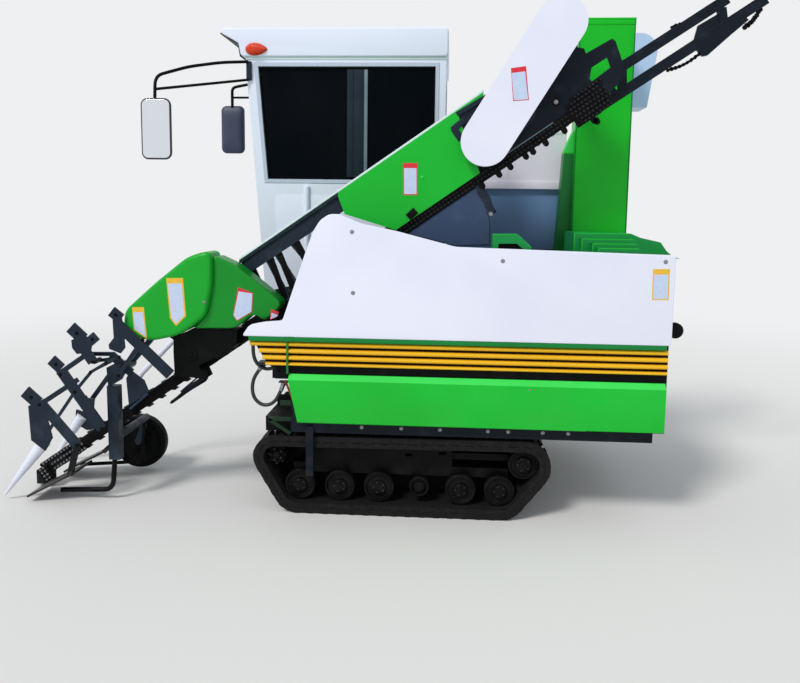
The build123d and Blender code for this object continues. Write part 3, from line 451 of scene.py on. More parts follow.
def bare_steel(name, paint_from=None):
    """Soil-polished steel, streaked along X, with rust spots; above the given height it is painted black."""
    material, tree, shader = new_finish(name)
    streak = noise(tree, 40.0, 6.0, (0.15, 1.0, 1.0))
    rust = span(tree, noise(tree, 11.0, 8.0), 0.52, 0.68)
    tone = mixed(tree, rust, (0.050, 0.048, 0.047), (0.024, 0.018, 0.014))
    if paint_from:
        painted = span(tree, height_above_ground(tree), paint_from, paint_from + 0.01)
        tone = mixed(tree, painted, tone, (0.004, 0.005, 0.006))
    rough = span(tree, streak, 0.3, 0.7, 0.35, 0.6)
    feed(tree, shader, {"Base Color": tone, "Roughness": rough, "Metallic": 0.6})
    relief(tree, shader, streak, 0.0002)
    return material


def zinc():
    """Zinc-plated fastener steel with faint blotches."""
    material, tree, shader = new_finish("zinc_plate")
    blotches = span(tree, noise(tree, 120.0, 4.0), 0.35, 0.65)
    tone = mixed(tree, blotches, (0.34, 0.35, 0.37), (0.20, 0.20, 0.21))
    rough = span(tree, noise(tree, 60.0, 3.0), 0.3, 0.7, 0.25, 0.42)
    feed(tree, shader, {"Base Color": tone, "Roughness": rough, "Metallic": 0.9})
    return material


def brushed_aluminium():
    """Anodised window section, drawn along its length."""
    material, tree, shader = new_finish("window_aluminium")
    drawn = noise(tree, 90.0, 5.0, (1.0, 1.0, 0.05))
    tone = mixed(tree, span(tree, drawn, 0.3, 0.7), (0.52, 0.60, 0.72), (0.44, 0.52, 0.64))
    rough = span(tree, drawn, 0.3, 0.7, 0.3, 0.45)
    feed(tree, shader, {"Base Color": tone, "Roughness": rough, "Metallic": 0.35})
    relief(tree, shader, drawn, 0.0001)
    return material


def track_rubber():
    """Black rubber, greyed and pitted, with soil in its hollows."""
    material, tree, shader = new_finish("track_rubber_worn")
    pits = noise(tree, 60.0, 8.0)
    tone = mixed(tree, span(tree, pits, 0.35, 0.7), (0.006, 0.006, 0.0065), (0.015, 0.014, 0.014))
    cake = span(tree, noise(tree, 10.0, 8.0), 0.5, 0.75, 0.0, 0.14)
    tone = mixed(tree, cake, tone, (0.045, 0.038, 0.032))
    feed(tree, shader, {"Base Color": tone, "Roughness": 0.8, "Specular IOR Level": 0.15})
    relief(tree, shader, pits, 0.0008)
    return material


def hose_rubber():
    """Satin hose cover with fine wrap marks."""
    material, tree, shader = new_finish("hose_cover")
    wrap = noise(tree, 300.0, 3.0)
    tone = mixed(tree, span(tree, wrap, 0.3, 0.7), (0.009, 0.009, 0.010), (0.022, 0.022, 0.023))
    feed(tree, shader, {"Base Color": tone, "Roughness": 0.45})
    relief(tree, shader, wrap, 0.0002)
    return material


def moulded_plastic(name, colour, other, roughness=0.5, gloss=0.5):
    """Moulded plastic with a fine spark-eroded grain."""
    material, tree, shader = new_finish(name)
    tone = mixed(tree, span(tree, noise(tree, 6.0, 3.0), 0.3, 0.7), colour, other)
    feed(tree, shader, {"Base Color": tone, "Roughness": roughness, "Specular IOR Level": gloss})
    relief(tree, shader, noise(tree, 500.0, 3.0), 0.0001)
    return material


def seat_cloth():
    """Black leathercloth with a pebbled grain."""
    material, tree, shader = new_finish("seat_leathercloth")
    coords = add(tree, "ShaderNodeTexCoord").outputs["Object"]
    pebble = add(tree, "ShaderNodeTexVoronoi", {"Vector": coords, "Scale": 260.0}).outputs["Distance"]
    tone = mixed(tree, pebble, (0.035, 0.035, 0.038), (0.014, 0.014, 0.015))
    feed(tree, shader, {"Base Color": tone, "Roughness": 0.55})
    relief(tree, shader, pebble, 0.0004)
    return material


def tinted_glass():
    """Dark tinted pane, a little see-through, with wiped dust."""
    material, tree, shader = new_finish("tinted_pane")
    film = span(tree, noise(tree, 2.5, 5.0, (1.0, 1.0, 0.4)), 0.4, 0.8, 0.0, 0.02)
    tone = mixed(tree, film, (0.0015, 0.003, 0.005), (0.16, 0.17, 0.17))
    feed(tree, shader, {"Base Color": tone, "Roughness": 0.04, "Specular IOR Level": 0.02, "Alpha": 0.975})
    return material


def mirror_face():
    """Silvered mirror glass with a faint haze."""
    material, tree, shader = new_finish("mirror_silver")
    haze = span(tree, noise(tree, 14.0, 4.0), 0.4, 0.7, 0.04, 0.10)
    tone = mixed(tree, noise(tree, 5.0, 2.0), (0.80, 0.84, 0.88), (0.72, 0.76, 0.80))
    feed(tree, shader, {"Base Color": tone, "Roughness": haze, "Metallic": 1.0})
    return material


def amber_lens():
    """Amber lamp lens with moulded ribs and a deep colour."""
    material, tree, shader = new_finish("amber_lens")
    coords = add(tree, "ShaderNodeTexCoord").outputs["Object"]
    wave = add(tree, "ShaderNodeTexWave", {"Vector": coords, "Scale": 60.0}, bands_direction="X")
    ribs = wave.outputs["Fac"]
    tone = mixed(tree, ribs, (0.74, 0.050, 0.008), (0.60, 0.030, 0.005))
    feed(tree, shader, {
        "Base Color": tone, "Roughness": 0.12, "Specular IOR Level": 0.25, "Coat Weight": 0.15,
    })
    relief(tree, shader, ribs, 0.0008)
    return material


def cast_iron():
    """Rough cast iron of the engine, oily in patches."""
    material, tree, shader = new_finish("engine_casting")
    oil = span(tree, noise(tree, 7.0, 6.0), 0.4, 0.7)
    tone = mixed(tree, oil, (0.09, 0.09, 0.095), (0.03, 0.028, 0.026))
    feed(tree, shader, {"Base Color": tone, "Roughness": span(tree, oil, 0, 1, 0.7, 0.4)})
    relief(tree, shader, noise(tree, 180.0, 6.0), 0.0006)
    return material


def label_stock(name, colour, other):
    """Printed foil label, blank, with a slight cockle."""
    material, tree, shader = new_finish(name)
    tone = mixed(tree, span(tree, noise(tree, 40.0, 3.0), 0.35, 0.65), colour, other)
    feed(tree, shader, {"Base Color": tone, "Roughness": 0.35})
    relief(tree, shader, noise(tree, 25.0, 2.0), 0.0003)
    return material


WHITE = sheet_paint("white_panel_paint", (0.80, 0.82, 0.94), (0.74, 0.77, 0.91), dust=0.12)
CAB_WHITE = sheet_paint("cab_white_paint", (0.77, 0.83, 0.97), (0.74, 0.80, 0.95), dust=0.05)
GREEN = sheet_paint("bright_green_paint", (0.005, 0.50, 0.035), (0.003, 0.44, 0.024), dust=0.10)
TOWER_GREEN = sheet_paint("tower_green_paint", (0.004, 0.56, 0.022), (0.003, 0.50, 0.016), dust=0.05)
DEEP_GREEN = sheet_paint("deep_green_paint", (0.003, 0.22, 0.040), (0.002, 0.17, 0.028), dust=0.05)
# Paler copy of the green paint: painted highlight where the green faces the sky and catches the light.
PAINTED_LIT_GREEN = sheet_paint("lit_green_painted_highlight", (0.045, 0.72, 0.10), (0.035, 0.64, 0.08), dust=0.04)
YELLOW = sheet_paint("grille_yellow_paint", (0.86, 0.50, 0.016), (0.76, 0.42, 0.012), dust=0.10)
# Slate blue on the white bin's tapered lower part: painted shade where the bin draws in downwards.
TANK_SHADE_BLUE = sheet_paint("tank_base_painted_shade", (0.145, 0.270, 0.50), (0.125, 0.235, 0.45), dust=0.05)
TANK_WHITE = sheet_paint("tank_white_paint", (0.86, 0.83, 0.96), (0.80, 0.77, 0.91), dust=0.04)
SPOUT_WHITE = sheet_paint("spout_white_paint", (0.50, 0.66, 0.90), (0.44, 0.59, 0.83), dust=0.04)
NAVY = frame_paint("navy_frame_paint", (0.004, 0.008, 0.015), (0.013, 0.021, 0.034))
SLATE = frame_paint("slate_arm_paint", (0.009, 0.018, 0.032), (0.024, 0.040, 0.062), 0.42, 0.2, 0.2)
PLATE_BLUE = frame_paint("slate_blue_plate_paint", (0.042, 0.070, 0.140), (0.060, 0.092, 0.170), 0.45, 0.1)
BLACK = frame_paint("black_running_gear_paint", (0.003, 0.003, 0.004), (0.008, 0.008, 0.009),
                    soil=0.14, gloss=0.09)
COVER_GREEN = sheet_paint("drive_cover_green_paint", (0.005, 0.37, 0.024), (0.004, 0.33, 0.018), dust=0.08)
# Darker copy of the cover's green: painted shade for the rear lobe, which lies in the shadow of the chute
# and cab.
SHADED_GREEN = sheet_paint("rear_lobe_painted_shade_green", (0.003, 0.255, 0.019), (0.002, 0.22, 0.014), dust=0.08)
PIN = frame_paint("oiled_pin_steel", (0.012, 0.014, 0.018), (0.034, 0.040, 0.048), 0.35, 0.1, 0.25)
CASE_BLACK = frame_paint("gear_case_black_paint", (0.003, 0.004, 0.0035), (0.007, 0.008, 0.0075),
                         roughness=0.5, soil=0.03, gloss=0.07)
CORNER_GREEN = sheet_paint("dark_corner_green_paint", (0.002, 0.030, 0.010), (0.002, 0.022, 0.008),
                           dust=0.05)
HOOD_GREEN = sheet_paint("hood_green_paint", (0.003, 0.285, 0.058), (0.003, 0.235, 0.046), dust=0.05)
# Pale blue-grey: painted highlight along the window stile's edge and the chain rail's top edge.
EDGE_HIGHLIGHT_GREY = moulded_plastic("painted_edge_highlight_grey", (0.13, 0.19, 0.23), (0.17, 0.24, 0.28), 0.4, 0.2)
BRICK = frame_paint("red_oxide_strap_paint", (0.16, 0.035, 0.018), (0.22, 0.060, 0.030), 0.5, 0.2)
STILE = moulded_plastic("window_stile_paint", (0.012, 0.022, 0.034), (0.018, 0.030, 0.042), 0.5, 0.08)
# Pale mint green: painted highlight along the conveyor flange's top edge and painted reflection under the
# eaves.
PALE_GREEN_HIGHLIGHT = sheet_paint("pale_green_painted_highlight", (0.70, 0.88, 0.84), (0.64, 0.82, 0.78), dust=0.03)
BARE = bare_steel("slide_rod_steel")
BLADE = bare_steel("soil_polished_steel", 0.212)
ZINC = zinc()
ALUMINIUM = brushed_aluminium()
RUBBER = track_rubber()
HOSE = hose_rubber()
BLACK_PLASTIC = moulded_plastic("black_moulding", (0.012, 0.012, 0.014), (0.020, 0.020, 0.022))
GREY_PLASTIC = moulded_plastic("grey_moulding", (0.026, 0.038, 0.080), (0.036, 0.050, 0.100))
SEAL = moulded_plastic("window_seal", (0.008, 0.008, 0.008), (0.014, 0.014, 0.014), 0.7)
LEATHER = seat_cloth()
PANE = tinted_glass()
MIRROR = mirror_face()
AMBER = amber_lens()
IRON = cast_iron()
LABEL_RED = label_stock("label_red", (0.72, 0.02, 0.04), (0.62, 0.015, 0.03))
LABEL_YELLOW = label_stock("label_yellow", (0.83, 0.50, 0.03), (0.75, 0.43, 0.02))
LABEL_PALE = label_stock("label_pale", (0.50, 0.60, 0.82), (0.56, 0.65, 0.84))

NODE_FINISH = {
    WHITE: "side_panel_left side_panel_right drive_guard",
    TANK_WHITE: "tank",
    SPOUT_WHITE: "elevator_head",
    CAB_WHITE: "cab_left_wall cab_right_wall cab_door cab_front cab_rear cab_roof",
    GREEN: "lower_panel_left lower_panel_right chute_cover front_cover",
    HOOD_GREEN: "rear_hood",
    TOWER_GREEN: "elevator_tower",
    YELLOW: "grille_left grille_right",
    TANK_SHADE_BLUE: "tank_base",
    NAVY: "main_frame cab_floor conveyor_beam conveyor_plates rear_rails clamp_chain body_deck rear_panel",
    SLATE: "head_frame divider_left divider_right chute_rail",
    BLACK: "track_frame_left track_frame_right lift_barrel",
    BARE: "lift_rod",
    BLADE: "blades",
    CASE_BLACK: "head_gearbox",
    RUBBER: "track_left track_right",
    PANE: "cab_glass cab_door_glass",
    BLACK_PLASTIC: "control_console",
    IRON: "engine_block",
}
for material, names in NODE_FINISH.items():
    for name in names.split():
        for slot in NODES[name].material_slots:
            slot.material = material

SOFTENED = {
    # width of the softened edge: nodes of folded sheet, then of plate and bar
    0.0025: "elevator_tower elevator_head tank tank_base cab_left_wall cab_right_wall cab_front cab_rear "
            "cab_door",
    0.0018: "conveyor_plates rear_rails head_frame divider_left divider_right chute_rail conveyor_beam "
            "main_frame drive_guard",
}
for width, names in SOFTENED.items():
    for name in names.split():
        weld = NODES[name].modifiers.new("weld", "WELD")
        weld.merge_threshold = 0.0001
        bevel = NODES[name].modifiers.new("soft_edges", "BEVEL")
        bevel.width = width
        bevel.segments = 2
        bevel.limit_method = "ANGLE"
        bevel.angle_limit = np.radians(40)


# Hoses


MM = 1000.0    # the hoses' routes are in millimetres


def hose(name, node, points, diameter):
    """Free hydraulic hose: a smooth curve steered by its route's points."""
    curve = bpy.data.curves.new(name, "CURVE")
    curve.dimensions = "3D"
    spline = curve.splines.new("NURBS")
    spline.points.add(len(points) - 1)
    spline.points.foreach_set("co", np.array([(*p, MM) for p in points]).ravel() / MM)
    spline.order_u = 3
    spline.use_endpoint_u = True
    spline.resolution_u = 16
    curve.bevel_depth = diameter / 2
    curve.bevel_resolution = 6
    curve.use_fill_caps = True
    piece = put(name, curve)
    curve.materials.append(HOSE)
    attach(piece, "chassis")
    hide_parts(node)


HOSE_D = 0.022
UPPER_ROUTE = [
    (655, 900, 1080), (661, 900, 1000), (642, 900, 925), (580, 900, 884), (512, 900, 908), (486, 900, 975),
]
LOWER_ROUTE = [
    (606, 868, 905), (654, 872, 850), (672, 884, 775), (658, 892, 705), (605, 896, 662),
    (545, 896, 672), (503, 894, 722), (478, 888, 790),
]
hose("upper_hose_line", "hose_upper", UPPER_ROUTE, HOSE_D)
hose("lower_hose_line", "hose_lower", LOWER_ROUTE, HOSE_D)


def hose_end(route, at_start):
    """Crimped collar and nut where a hose meets its fitting: a profile turned round the hose's own line."""
    p, q = (route[0], route[1]) if at_start else (route[-1], route[-2])
    p, q = np.array(p) / MM, np.array(q) / MM
    out = (p - q) / np.linalg.norm(p - q)
    steps = np.array((-0.036, -0.035, -0.004, -0.002, 0.0, 0.001, 0.018, 0.019, 0.030))
    radii = np.array((0.012, 0.0135, 0.0135, 0.0125, 0.0125, 0.0155, 0.0155, 0.010, 0.010))
    return tube(p + steps[:, None] * out, radii, 12)


surface("hose_end_fittings", [
    hose_end(route, start) for route in (UPPER_ROUTE, LOWER_ROUTE) for start in (True, False)
], ZINC, "chassis")

HOSE_BRACKETS = (
    # level plates from the body to each fitting: middle of the underside, width, depth
    ((0.653, 0.925, 1.105), 0.06, 0.08), ((0.520, 0.915, 0.998), 0.12, 0.08),
    ((0.575, 0.900, 0.930), 0.10, 0.11), ((0.440, 0.895, 0.812), 0.12, 0.05),
)
surface("hose_bracket_plates", [
    plate(rounded_outline(w, h, 0.006, 4), 0.006, 0.0012, origin, (1, 0, 0), (0, 1, 0))
    for origin, w, h in HOSE_BRACKETS
], NAVY, "chassis")


# Running gear


def roller_outline(radius, hub):
    """Half section of two wheels on one axle, as (radius, distance from the track's inner edge)."""
    y0, y1 = 0.060, 0.260    # inner face of the far wheel and outer face of the near one
    wheel = [
        (radius - 0.004, 0.0), (radius, 0.004), (radius, 0.056), (radius - 0.004, 0.060),
        (radius - 0.014, 0.060), (radius - 0.018, 0.048), (hub + 0.008, 0.046), (hub, 0.050),
    ]
    far = [(0.0, y0 - 0.012), (0.020, y0 - 0.012), (0.020, y0)]
    far += [(r, y0 + y) for r, y in wheel]
    far += [(0.020, y0 + 0.050)]
    near = [(0.020, y1 - 0.062)] + [(r, y1 - 0.060 + y) for r, y in wheel]
    near += [(hub - 0.004, y1 + 0.006), (hub * 0.55, y1 + 0.008), (hub * 0.5, y1 + 0.014), (0.0, y1 + 0.014)]
    return np.array(far + near)


def running_wheels(side, sign):
    """Lower rollers, carrier roller and idler, each turned from its half section round its own axle."""
    wheels = [(x, ROLLER_Z, ROLLER_R, 0.045) for x in ROLLER_X]
    wheels += [(*CARRIER, 0.035), (*IDLER, 0.050)]
    grids = []
    for x, z, radius, hub in wheels:
        outline = roller_outline(radius, hub)
        outline[:, 1] = sign * (TRACK_INNER + outline[:, 1])
        grids.append(turned(outline, (x, z), 56))
    return surface(f"rollers_{side}", grids, BLACK, "chassis", crease=40)


def sprocket(side, sign):
    """Driving sprocket: its rim radius rises and falls eight times round, with flat tops and hollows."""
    angle = np.arange(96) * TAU / 96
    tooth = np.clip(1.6 * np.cos(8 * angle), -1, 1)
    rim = SPROCKET_R - 0.010 + 0.007 * tooth
    y = WHEEL_FACE - np.array((0.200, 0.200, 0.198, 0.002, 0.000, 0.0, 0.0, -0.012, -0.014, -0.014))
    share = np.array((0.0, 0.96, 1.0, 1.0, 0.96, 0.72, 0.45, 0.40, 0.36, 0.0))
    y[5:7] -= 0.010    # recess between rim and hub
    reach = rim[:, None] * share
    x = SPROCKET_X + reach * np.cos(angle)[:, None]
    z = SPROCKET_Z + reach * np.sin(angle)[:, None]
    grid = np.stack([x, np.broadcast_to(sign * y, x.shape), z], -1)
    shaft = turned([(0.0, sign * 0.560), (0.034, sign * 0.560), (0.034, sign * 0.675), (0.0, sign * 0.675)],
                   (SPROCKET_X, SPROCKET_Z), 96)
    shaft = np.concatenate([shaft, np.repeat(shaft[:, -1:], grid.shape[1] - shaft.shape[1], 1)], 1)
    return surface(f"drive_sprocket_{side}", [grid, shaft], BLACK, "chassis")


def hub_bolts(side, sign):
    """Five bolt heads on a circle round the hubs of the lower rollers, the idler and the sprocket."""
    head = bolt_head(0.0065, 0.007)
    y = sign * (WHEEL_FACE + 0.0065)
    centres = [(x, ROLLER_Z, 0.031) for x in ROLLER_X]
    centres += [(*IDLER[:2], 0.035), (SPROCKET_X, SPROCKET_Z, 0.036)]
    places = []
    for x, z, reach in centres:
        for k in range(5):
            a = TAU * k / 5
            origin = (x + reach * np.cos(a), y - sign * 0.002, z + reach * np.sin(a))
            places.append(place(origin, (sign, 0, 0), (0, 0, -1)))
    return surface(f"hub_bolts_{side}", placed(head, places), PIN, "chassis")


BELT_WHEELS = np.array((
    # x, z and radius that the belt's inner face follows at the corners of its loop
    (SPROCKET_X, SPROCKET_Z, SPROCKET_R), (ROLLER_X[0], ROLLER_Z, 0.098), (ROLLER_X[-1], ROLLER_Z, 0.098),
    (*IDLER[:2], 0.095),
))


def belt_line(extra):
    """Closed outline round the corner wheels: each way, the wheel that reaches furthest gives the point."""
    angle = np.arange(176) * TAU / 176
    ways = np.stack([np.cos(angle), np.sin(angle)], -1)
    furthest = (ways @ BELT_WHEELS[:, :2].T + BELT_WHEELS[:, 2]).argmax(1)
    return BELT_WHEELS[furthest, :2] + (BELT_WHEELS[furthest, 2:] + extra) * ways


def track_edge(side, sign):
    """Smooth moulded outer edge of the belt, as high as the lugs, and a dark inner guard plate inside the
    loop, set there mainly as painted shade for the shade under the machine.
    """
    rim = belt_line(BELT + LUG - 0.0005)
    edge = border(rim, BELT + LUG - 0.029, TRACK_OUTER - 0.030, TRACK_OUTER + 0.0005, 0.005)
    edge[..., 1] *= sign
    surface(f"belt_outer_edge_{side}", edge, RUBBER, "chassis", wrap_v=True)
    # Dark plate inside the loop, between the rollers: painted shade.
    shade_plate = pressed(belt_line(0.012), 0.630, 0.636, 0.001, 2)
    shade_plate[..., 1] *= sign
    solid(f"track_inner_painted_shade_{side}", [shade_plate], BLACK, "chassis")


for side, sign in (("left", 1), ("right", -1)):
    track_edge(side, sign)
    wheels = running_wheels(side, sign)
    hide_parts(f"track_wheels_{side}")
    sprocket(side, sign)
    hub_bolts(side, sign)


# Depth wheel


WHEEL = (1.640, 0.215)
WHEEL_Y, WHEEL_R = 0.250, 0.188
BOLT_CIRCLE = 0.075
half_rim = [
    # radius, distance from the wheel's middle plane
    (0.0, 0.040), (0.030, 0.040), (0.044, 0.038), (0.046, 0.014), (0.090, 0.006), (0.140, 0.010),
    (0.152, 0.014), (0.154, 0.034), (0.160, 0.039), (0.178, 0.038), (0.186, 0.030), (WHEEL_R, 0.018),
]
wheel_section = [(r, WHEEL_Y - y) for r, y in half_rim] + [(r, WHEEL_Y + y) for r, y in half_rim[::-1]]
depth_wheel = surface("depth_wheel", turned(wheel_section, WHEEL, 72), CASE_BLACK, "gauge_wheel")
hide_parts("gauge_wheel")
wheel_places = [
    place((WHEEL[0] + BOLT_CIRCLE * np.cos(a), WHEEL_Y + s * 0.008, WHEEL[1] + BOLT_CIRCLE * np.sin(a)),
          (s, 0, 0), (0, 0, -1))
    for a in np.arange(5) * TAU / 5 for s in (1, -1)
]
surface("depth_wheel_bolts", placed(bolt_head(0.008, 0.009), wheel_places), CASE_BLACK, "gauge_wheel")


# Divider tips and right-hand strut


def cone(tip, base):
    """Pointed tip: the radius grows from a blunt nose along the line, quickly at first and then evenly."""
    t = np.array((0.0, 0.004, 0.014, 0.035, 0.12, 0.3, 0.5, 0.7, 0.85, 0.97, 0.995, 1.0))
    radius = 0.008 * np.sqrt(np.clip(t / 0.035, 0, 1)) + 0.032 * t
    radius[-1] = 0.036    # chamfer at the base
    path = np.array(tip) + t[:, None] * (np.array(base) - np.array(tip))
    return tube(path, radius, 40)


TIPS = (
    # tip, base
    ((2.272, 0.894, 0.028), (1.992, 0.894, 0.390)),
    ((2.332, 0.162, 0.028), (2.105, 0.162, 0.353)),
)
tips = surface("divider_cones", [cone(a, b) for a, b in TIPS], WHITE, "header")
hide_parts("divider_tips")

STRUT_Y = 0.144
strut_path = bent([
    (1.300, STRUT_Y, 1.110), (1.290, STRUT_Y, 1.060), (1.690, STRUT_Y, 0.650), (1.722, STRUT_Y, 0.262),
], 0.05)
right_strut = surface("right_hand_strut", tube(strut_path, 0.019, 28), WHITE, "header")
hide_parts("right_strut")


# Mirrors


def shell(width, height, depth, origin, u, v):
    """Rounded mirror back: a rounded rectangle drawn in along a quarter ellipse as it rises."""
    outline = rounded_outline(width, height, min(width, height) * 0.22, 8)
    t = np.linspace(0, np.pi / 2, 9)
    share = np.concatenate([[0.0, 0.94, 1.0], np.cos(t[1:]) ** 0.45])
    height_share = np.concatenate([[0.0, 0.0, 0.06], 0.06 + 0.94 * np.sin(t[1:])])
    share[-1] = 0.0
    u, v = np.asarray(u, float), np.asarray(v, float)
    flat = share[:, None] * outline[:, None, :]
    lift = height_share * depth
    return np.asarray(origin, float) + flat[..., :1] * u + flat[..., 1:] * v + lift[:, None] * np.cross(u, v)


left_back = shell(0.200, 0.390, 0.046, (1.390, 0.474, 2.360), (1, 0, 0), (0, 0, 1))
left_mirror = surface("mirror_left_back", left_back, BLACK_PLASTIC, "chassis")
left_face = plate(rounded_outline(0.180, 0.370, 0.034, 8), 0.004, 0.001, (1.390, 0.4745, 2.360),
                  (-1, 0, 0), (0, 0, 1), 0.001)
surface("mirror_left_silver", left_face, MIRROR, "chassis")
left_arm = tube(bent([
    (0.890, 0.066, 2.858), (1.060, 0.126, 2.842), (1.240, 0.260, 2.790), (1.402, 0.440, 2.700),
    (1.402, 0.455, 2.540),
], 0.060), 0.0105)
left_stay = tube(np.linspace((0.890, 0.062, 2.738), (1.402, 0.450, 2.614), 24), 0.009)
surface("mirror_left_arm", left_arm, BLACK, "chassis")
surface("mirror_left_stay", left_stay, BLACK, "chassis")
left_post = plate(rounded_outline(0.128, 0.036, 0.008, 5), 0.018, 0.003, (0.886, 0.050, 2.798),
                  (0, 0, 1), (1, 0, 0))
surface("mirror_left_post", left_post, SLATE, "chassis")
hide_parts("mirror_left")

right_back = shell(0.196, 0.390, 0.042, (1.309, -1.027, 2.510), (-1, 0, 0), (0, 0, 1))
right_mirror = surface("mirror_right_back", right_back, GREY_PLASTIC, "chassis")
right_face = plate(rounded_outline(0.166, 0.358, 0.03, 8), 0.003, 0.001, (1.309, -1.0256, 2.510),
                   (1, 0, 0), (0, 0, 1), 0.001)
surface("mirror_right_silver", right_face, MIRROR, "chassis")
right_arm = tube(bent([
    (0.900, -0.994, 2.880), (1.180, -1.005, 2.876), (1.310, -1.008, 2.850), (1.310, -1.008, 2.690),
], 0.035), 0.012)
right_stay = tube(np.linspace((0.890, -0.990, 2.770), (1.310, -1.008, 2.770), 20), 0.009)
surface("mirror_right_arm", right_arm, BLACK, "chassis")
surface("mirror_right_stay", right_stay, BLACK, "chassis")
right_post = plate(rounded_outline(0.146, 0.050, 0.010, 5), 0.022, 0.003, (0.885, -1.004, 2.813),
                   (1, 0, 0), (0, 0, -1))
surface("mirror_right_post", right_post, BLACK, "chassis")
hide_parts("mirror_right")


# Side panels, flanges and grilles


def panel_left():
    """Near white panel: its outline with small rounded corners, carried out to the panel's face."""
    outline = (
        (0.700, 1.106), (0.654, 1.173), (0.559, 1.193), (0.457, 1.201), (0.314, 1.621), (0.273, 1.731),
        (0.232, 1.795), (0.180, 1.830), (0.121, 1.831), (0.000, 1.781), (-0.209, 1.738), (-0.554, 1.652),
        (-1.795, 1.624), (-1.795, 1.106),
    )
    return pressed(eased(outline, 0.02, 4), 0.960, SIDE_PANEL_FACE, 0.005, 4)


near_panel = solid("side_panel_near", [panel_left()], WHITE, "chassis", 50)
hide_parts("side_panel_left")
bolts("side_panel_bolts", ((0.046, 1.729), (0.038, 1.375), (-0.824, 1.576), (-1.737, 1.586)),
      SIDE_PANEL_FACE - 0.0002, 0.0095, 0.0024, ZINC, "chassis")


def lower_panel(sign):
    """Green lower panel whose top edge is turned in at a slope and whose front edge leans."""
    section = (
        # y, z
        (0.960, 0.590), (0.996, 0.590), (0.9995, 0.594), (0.9995, 0.846), (0.998, 0.850), (0.968, 0.880),
        (0.960, 0.880),
    )
    front, low, high, lean_back = 0.424, 0.590, 0.846, 0.056
    rings = pressed(section, -1.780, front, 0.0, 1, "x")
    lean = front - lean_back * np.clip((high - rings[..., 2]) / (high - low), 0, 1)
    rings[..., 0] = np.where(rings[..., 0] > 0, lean, rings[..., 0])
    rings[..., 1] *= sign
    return rings


near_lower = solid("lower_panel_near", [lower_panel(1)], GREEN, "chassis")
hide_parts("lower_panel_left")
solid("lower_panel_lit_flange", [
    pressed(((0.9988, 0.8475), (0.9692, 0.8788), (0.9700, 0.8796), (0.9996, 0.8483)),
            -1.778, 0.422, 0.0, 1, "x"),
], PAINTED_LIT_GREEN, "chassis")
solid("lower_panel_rear_end", [block(-1.777, -1.330, 0.961, 0.9990, 0.5905, 0.5985, 0.001)], BLACK,
      "chassis")
bolts("lower_panel_bolts", ((-1.002, 0.828),), 0.9993 - 0.0022, 0.007, 0.0026, ZINC, "chassis")

for name, parts in (
    ("waist_flange_near", [block(-1.770, 0.660, 0.955, 0.997, 1.079, 1.1055, 0.002)]),
    ("waist_flange_far", [block(-1.770, -0.500, -0.997, -0.955, 1.079, 1.1055, 0.002)]),
    ("waist_corner_plate", [block(0.388, 0.442, 0.975, 0.999, 1.080, 1.108, 0.001)]),
    ("waist_thin_post", [block(0.424, 0.436, 0.975, 0.990, 0.884, 1.081, 0.001)]),
):
    solid(name, parts, DEEP_GREEN, "chassis")


def grille_rows(sign):
    """Four rolled bars, stepped back at the front: flat half circles carried along X to a drawn-in end."""
    rows = (
        # middle height, half height, front end
        (1.0600, 0.0140, 0.655), (1.0170, 0.0130, 0.600), (0.9765, 0.0130, 0.580), (0.9385, 0.0090, 0.562),
    )
    bars = []
    foot = 0.950    # y of the bars' inner face
    t = np.linspace(0, np.pi, 11)
    for z, half, front in rows:
        shape = np.stack([0.957 + 0.028 * np.sin(t) ** 0.6, z - half * np.cos(t)], -1)
        shape = np.concatenate([[(foot, z - half)], shape, [(foot, z + half)]])
        rings = pressed(shape, -1.785, front, 0.0, 1, "x")
        end = rings[-1].copy()
        end[:, 0] += 0.004
        end[:, 1] = foot + (end[:, 1] - foot) * 0.7
        rings = np.concatenate([rings, end[None]])
        rings[..., 1] *= sign
        bars.append(rings)
    return bars


def grille_backing(sign):
    """Dark plate behind the bars, whose front edge follows their stepped ends."""
    y0, y1 = sorted((sign * 0.943, sign * 0.9515))
    outline = (
        (-1.786, 0.862), (0.420, 0.862), (0.556, 0.930), (0.640, 1.070), (0.640, 1.094), (-1.786, 1.094),
    )
    return pressed(outline, y0, y1, 0.001, 2)


for side, sign in (("near", 1), ("far", -1)):
    rows = solid(f"grille_bars_{side}", grille_rows(sign), YELLOW, "chassis", 50)
    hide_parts("grille_left" if sign > 0 else "grille_right")
    solid(f"grille_backing_{side}", [grille_backing(sign)], BLACK, "chassis")

solid("front_corner_frame", [
    flat_bar(0.488, 0.689, 0.396, 0.692, 0.030, *FRAME_BARS, 0.001),
    flat_bar(0.396, 0.692, 0.396, 0.586, 0.026, *FRAME_BARS, 0.001),
    flat_bar(0.396, 0.592, 0.560, 0.587, 0.024, *FRAME_BARS, 0.001),
    flat_bar(0.560, 0.587, 0.425, 0.500, 0.022, *FRAME_BARS, 0.001),
], CORNER_GREEN, "chassis")
solid("panel_edge_strap", [flat_bar(0.452, 0.836, 0.398, 0.697, 0.013, 0.944, 0.950, 0.001)], BRICK,
      "chassis")
bolts("sill_bolts", [(x, 0.557) for x in (-0.012, -0.251, -0.482, -0.767, -0.887, -1.091, -1.240)],
      SILL_FACE, 0.0085, 0.008, ZINC, "chassis")
buffer = [
    (0.0, 0.855), (0.040, 0.855), (0.046, 0.862), (0.046, 0.893), (0.036, 0.902), (0.012, 0.905),
    (0.0, 0.905),
]
surface("rear_buffer", turned(buffer, (-1.842, 1.180), 32), BLACK, "chassis")


# Blank safety plates


